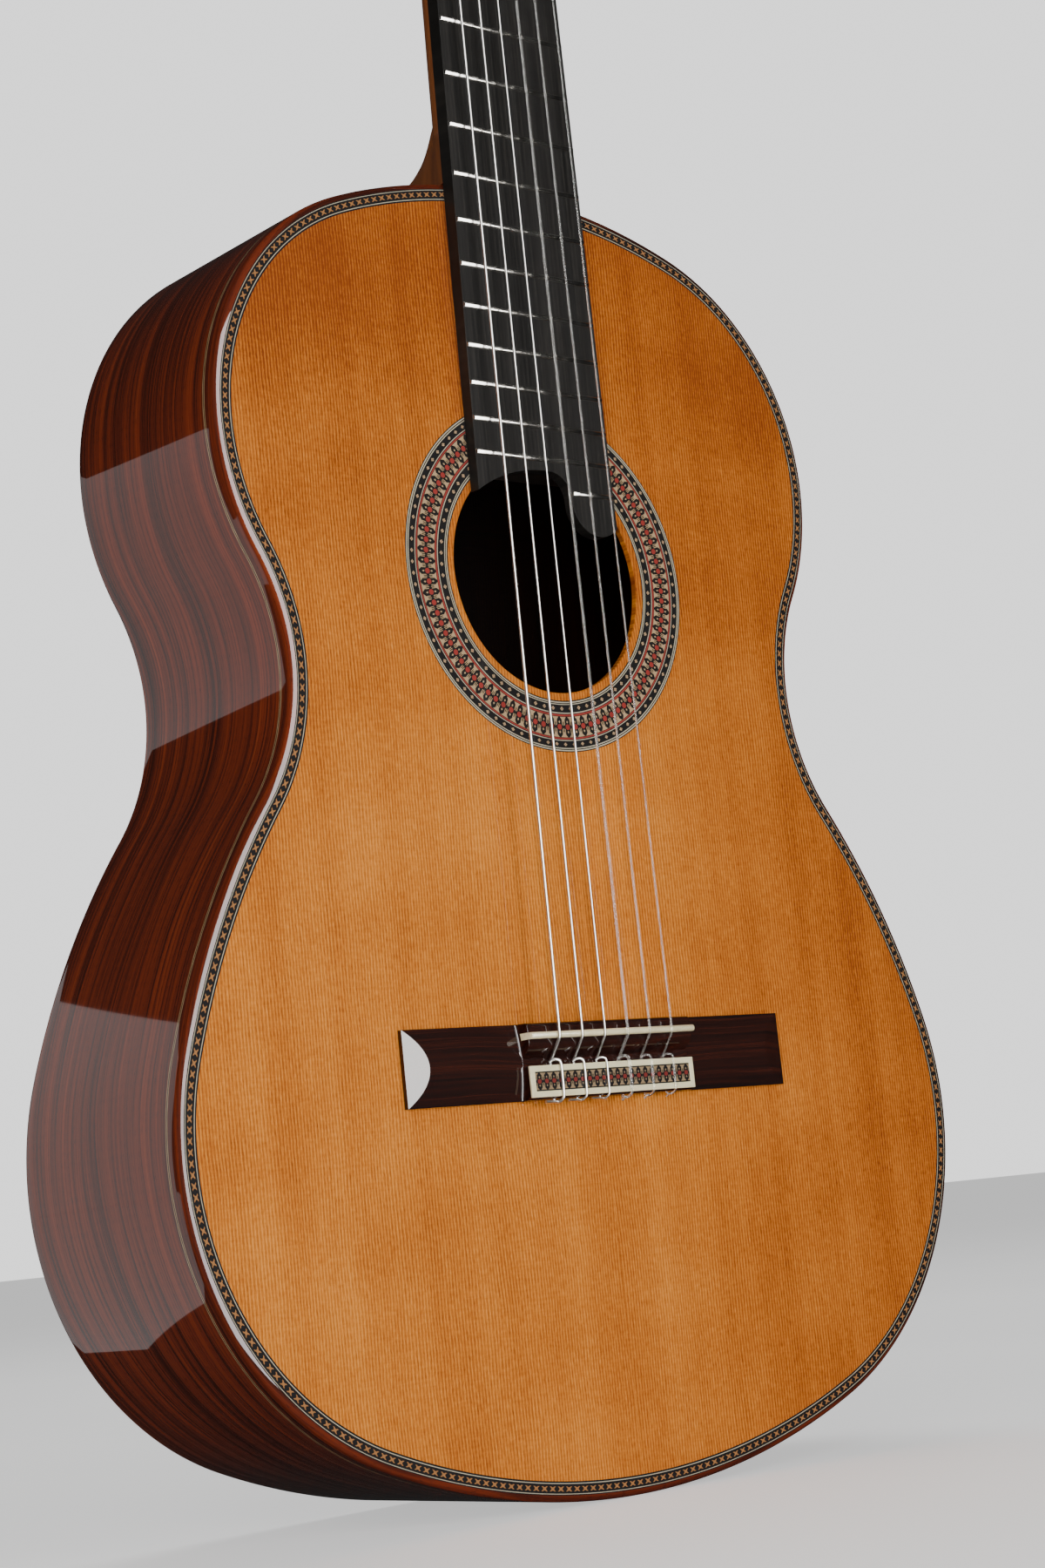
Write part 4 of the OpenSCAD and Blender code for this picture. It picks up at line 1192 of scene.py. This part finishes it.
def block_profile():
    """The raised middle from front to back: front edge, saddle wall, the hollow and the tie block."""
    front = arc((BRIDGE_FRONT - 1.6, -6.4), 1.6, 0, -90, 6)
    (wall, top), (reach, fall) = WALL, HOLLOW
    profile = [(BRIDGE_FRONT, 0)] + front + [WALL]
    for share in evenly(0, 1, 12)[1:]:
        profile.append((wall - reach * share, top + fall * (1 - cos(pi * share)) / 2))
    return profile + [(TIE[0], -3.4), (TIE[0], TIE_TOP + 1), (TIE[1], TIE_TOP + 1), (BRIDGE_BACK, -5.6),
                      (BRIDGE_BACK, 0)]


def profile_depth(z):
    """Depth of the block's top at a height."""
    rows = block_profile()
    for (z0, y0), (z1, y1) in zip(rows[1:], rows[2:]):
        if z1 <= z <= z0 and z1 < z0:
            return y0 + (y1 - y0) * (z0 - z) / (z0 - z1)
    return 0


def block_foot(side):
    """The hollow fillet where the block's end meets the wing."""
    rings = []
    for z in evenly(BRIDGE_FRONT - 0.2, BRIDGE_BACK + 0.2, 40):
        base = wing_depth(z)
        size = max(0.15, min(1.3, (base - profile_depth(z)) * 0.7))
        bend = [(SADDLE_HALF + size * (1 - cos(t)), base - size * (1 - sin(t)))
                for t in evenly(0, pi / 2, 8)]
        loop = [(SADDLE_HALF - 0.1, base + 0.4), (SADDLE_HALF - 0.1, base - size)] + bend + [
            (SADDLE_HALF + size, base + 0.4)]
        rings.append([(side * x, y, z) for x, y in loop])
    return skin(rings)


def hollow_end():
    """The slope at the thin strings' end of the hollow behind the saddle."""
    rings = []
    for x, y in ((31.8, -3.35), (38.4, -4.75), (SADDLE_HALF - 0.2, -4.75)):
        rings.append([(x, -3.2, TIE[0] + 3.3), (x, y - 0.16, TIE[0] + 3.1), (x, y, TIE[0]),
                      (x, -3.2, TIE[0])])
    return skin(rings)


def build_bridge():
    piece("bridge_base", bridge_wings(), BRIDGE_WOOD, replaces=["bridge"], slot="rosewood", sharp=5)
    block = skin([[(x, y, z) for z, y in block_profile()] for x in (-SADDLE_HALF, SADDLE_HALF)])
    piece("bridge_block", block, BRIDGE_WOOD, slot="rosewood", bevel=0.22, sharp=24)
    piece("block_feet", merge(block_foot(-1), block_foot(1)), BRIDGE_WOOD, slot="rosewood")
    piece("hollow_end", hollow_end(), BRIDGE_WOOD, slot="rosewood", bevel=0.1)
    half = SADDLE_THICK / 2
    crown = [(-SADDLE_HEIGHT + half - half * sin(t), -SCALE - half * cos(t)) for t in evenly(0, pi, 10)]
    loop = [(-3.5, -SCALE - half)] + crown + [(-3.5, -SCALE + half)]
    end = SADDLE_HALF + 0.05
    rings = [[(x, -3.5 + (y + 3.5) * tall, z) for y, z in loop] for x, tall in (
        (-end, 0.95), (-end + 0.35, 1), (end - 0.35, 1), (end, 0.95))]
    piece("bone_saddle", skin(rings), BONE, replaces=["saddle"], slot="bone", sharp=50)
    outer = rectangle(SADDLE_HALF, TIE[1], TIE[0])
    inner = rectangle(SADDLE_HALF - FRAME_BORDER, TIE[1] + FRAME_BORDER, TIE[0] - FRAME_BORDER)
    piece("bone_frame", prism([outer, inner], TIE_TOP, TIE_TOP + 1), BONE, replaces=["tie_block_frame"],
          slot="bone", bevel=0.2)
    piece("tie_inlay", prism([inner], TIE_TOP + 0.06, TIE_TOP + 1), tie_mosaic(),
          replaces=["tie_block_inlay"], slot="mosaic")


def string_shape(i):
    """A string: its loop round the tie block, its run over saddle and nut, and the tail of its knot."""
    r = STRING_RADII[i - 1]
    x = string_x(i, SADDLE_SPREAD)
    front, back, over = TIE[0] + r + 0.15, BRIDGE_BACK - r - 0.15, TIE_TOP - r - 0.05
    knot = [(x - 1.3, -5.6, front + 0.3), (x - 0.7, -6.3, front + 1.0), (x + 0.4, -7.4, front + 1.2),
            (x + 1.6, -8.0, front + 0.7), (x + 2.0, over - 0.1, front - 0.9), (x + 1.9, over, TIE[1] + 1.0),
            (x + 1.9, over + 0.2, TIE[1] - r), (x + 1.3, -6.4, back - 0.3), (x + 0.4, -5.0, back - 0.4),
            (x, TIE_HOLE, back), (x, TIE_HOLE, TIE[0] + 1)]
    nut_x = NUT_SHIFT + string_x(i, NUT_SPREAD)
    nut_y = -BOARD - 1.5 - r
    roller_x = side_of(i) * ROLLER_PLACES[rank(i)]
    run = [(x, -SADDLE_HEIGHT - r - 0.02, -SCALE - 1.0), (x, -SADDLE_HEIGHT - r - 0.02, -SCALE + 1.0),
           leaned((nut_x, nut_y, 0)), leaned((nut_x, nut_y, NUT)),
           on_head((roller_x, ROLLER_DEPTH - ROLLER_RADIUS - r - 0.15, roller_height(i)))]
    path = rounded(knot + run)
    reach = [0.0]
    for before, after in zip(path, path[1:]):
        reach.append(reach[-1] + (after - before).length)
    sides = 12
    end, lift, drop = (2.4, -6.3, 1.2) if i <= 3 else (5.6, -6.0, 0.0)
    tail = rounded([(x + 1.2, lift + 0.9, back - 0.5), (x - 0.4, lift, back - 0.2),
                    (x - end, lift - 0.5, back - 0.1 - drop)])
    along = [(d * MM, 0, 0) for d in reach for _ in range(sides)]
    tail_shape = tube(tail, r * 0.95, sides)
    along += [(k * 0.3 * MM, 0, 0) for k in range(len(tail)) for _ in range(sides)]
    return merge(tube(path, r, sides), tail_shape), along


def build_strings():
    for i in range(1, 7):
        shape, along = string_shape(i)
        material, slot = string_look(i)
        piece(f"strung_{i}", shape, material, replaces=[f"string_{i}"], slot=slot, along=along, sharp=70)


# ---- Camera, floor and lights ----


def build_camera():
    """The camera stands low to the left in front of the guitar and looks up across it."""
    right, down, ahead = (0.763, -0.6382, -0.1024), (0.02, 0.1816, -0.9832), (0.6461, 0.7481, 0.1513)
    data = bpy.data.cameras.new("camera")
    data.lens, data.sensor_width = 65.19, 36
    camera = bpy.data.objects.new("camera", data)
    turn = Matrix([right, [-c for c in down], [-c for c in ahead]]).transposed()
    camera.matrix_world = Matrix.Translation((-0.6948, -0.7777, -0.7144)) @ turn.to_4x4()
    bpy.context.scene.collection.objects.link(camera)
    bpy.context.scene.camera = camera


def area_light(name, place, target, size, power, colour=(1, 1, 1), glossy=True, diffuse=True):
    data = bpy.data.lights.new(name, "AREA")
    data.shape, data.size, data.size_y = "RECTANGLE", size[0], size[1]
    data.energy, data.color = power, colour
    light = bpy.data.objects.new(name, data)
    light.location = place
    light.rotation_euler = (Vector(target) - Vector(place)).to_track_quat("-Z", "Y").to_euler()
    light.visible_camera = False
    light.visible_glossy = glossy
    light.visible_diffuse = diffuse
    bpy.context.scene.collection.objects.link(light)


def build_studio():
    """A pale floor and room, a key and a fill in front, and soft boxes for the lacquer to mirror."""
    floor_z = TAIL_Z * MM
    data = bpy.data.meshes.new("floor")
    reach = 40
    data.from_pydata([(x, y, floor_z) for x, y in rectangle(reach, -reach, reach)], [], [(0, 1, 2, 3)])
    floor = bpy.data.objects.new("floor", data)
    paint = Paint("floor_paint", Roughness=0.7)
    x, y, _ = paint.place()
    cloud = paint.noise(x * 0.002, y * 0.002, 0.0)
    pale = paint.ramp(cloud, [(0.3, (0.60, 0.60, 0.60)), (0.7, (0.66, 0.66, 0.65))])
    paint.set("Base Color", paint.mix(paint.node("LightPath", "Is Glossy Ray"), pale, (0.03, 0.03, 0.03)))
    paint.set("Emission Color", (1.0, 1.0, 1.0))
    paint.set("Emission Strength", paint.node("LightPath", "Is Camera Ray") * 0.6)
    data.materials.append(paint.material)
    bpy.context.scene.collection.objects.link(floor)
    floor.visible_glossy = False
    floor.visible_shadow = False
    world = bpy.data.worlds.new("studio")
    bpy.context.scene.world = world
    world.use_nodes = True
    nodes = world.node_tree.nodes
    backdrop = nodes["Background"]
    backdrop.inputs[0].default_value = (1.0, 1.0, 1.0, 1)
    rays = nodes.new("ShaderNodeLightPath").outputs
    seen = Wire(world.node_tree, rays["Is Camera Ray"]) * 1.5
    soft = Wire(world.node_tree, rays["Is Diffuse Ray"]) * 0.14
    feed(world.node_tree, backdrop.inputs[1], seen + soft + 0.02)
    area_light("key", (0.34, -1.35, -0.58), (0, 0, -0.6), (0.34, 0.34), 9, (1.0, 0.97, 0.94))
    area_light("fill", (-0.95, -0.85, -0.45), (-0.12, 0, -0.62), (0.7, 0.7), 10, (1.0, 0.96, 0.92),
               glossy=False)
    area_light("edge_box", (-0.39, -1.45, -0.5), (0, 0, -0.5), (1.0, 2.6), 110, diffuse=False)
    area_light("side_box", (-0.74, 1.2, -0.436), (-0.74, 0, -0.436), (0.72, 0.75), 1.42)
    area_light("floor_box", (-0.65, 0.685, -0.811), (-0.65, 0.686, 0), (0.9, 1.03), 2.43)
    area_light("top_box", (0.6, 0.9, 1.6), (0.3, 0.3, -0.8), (1.6, 1.6), 26, glossy=False)


build_camera()
build_body()
build_neck()
build_fingerboard()
build_frets()
build_head()
build_tuners()
build_bridge()
build_strings()
build_studio()
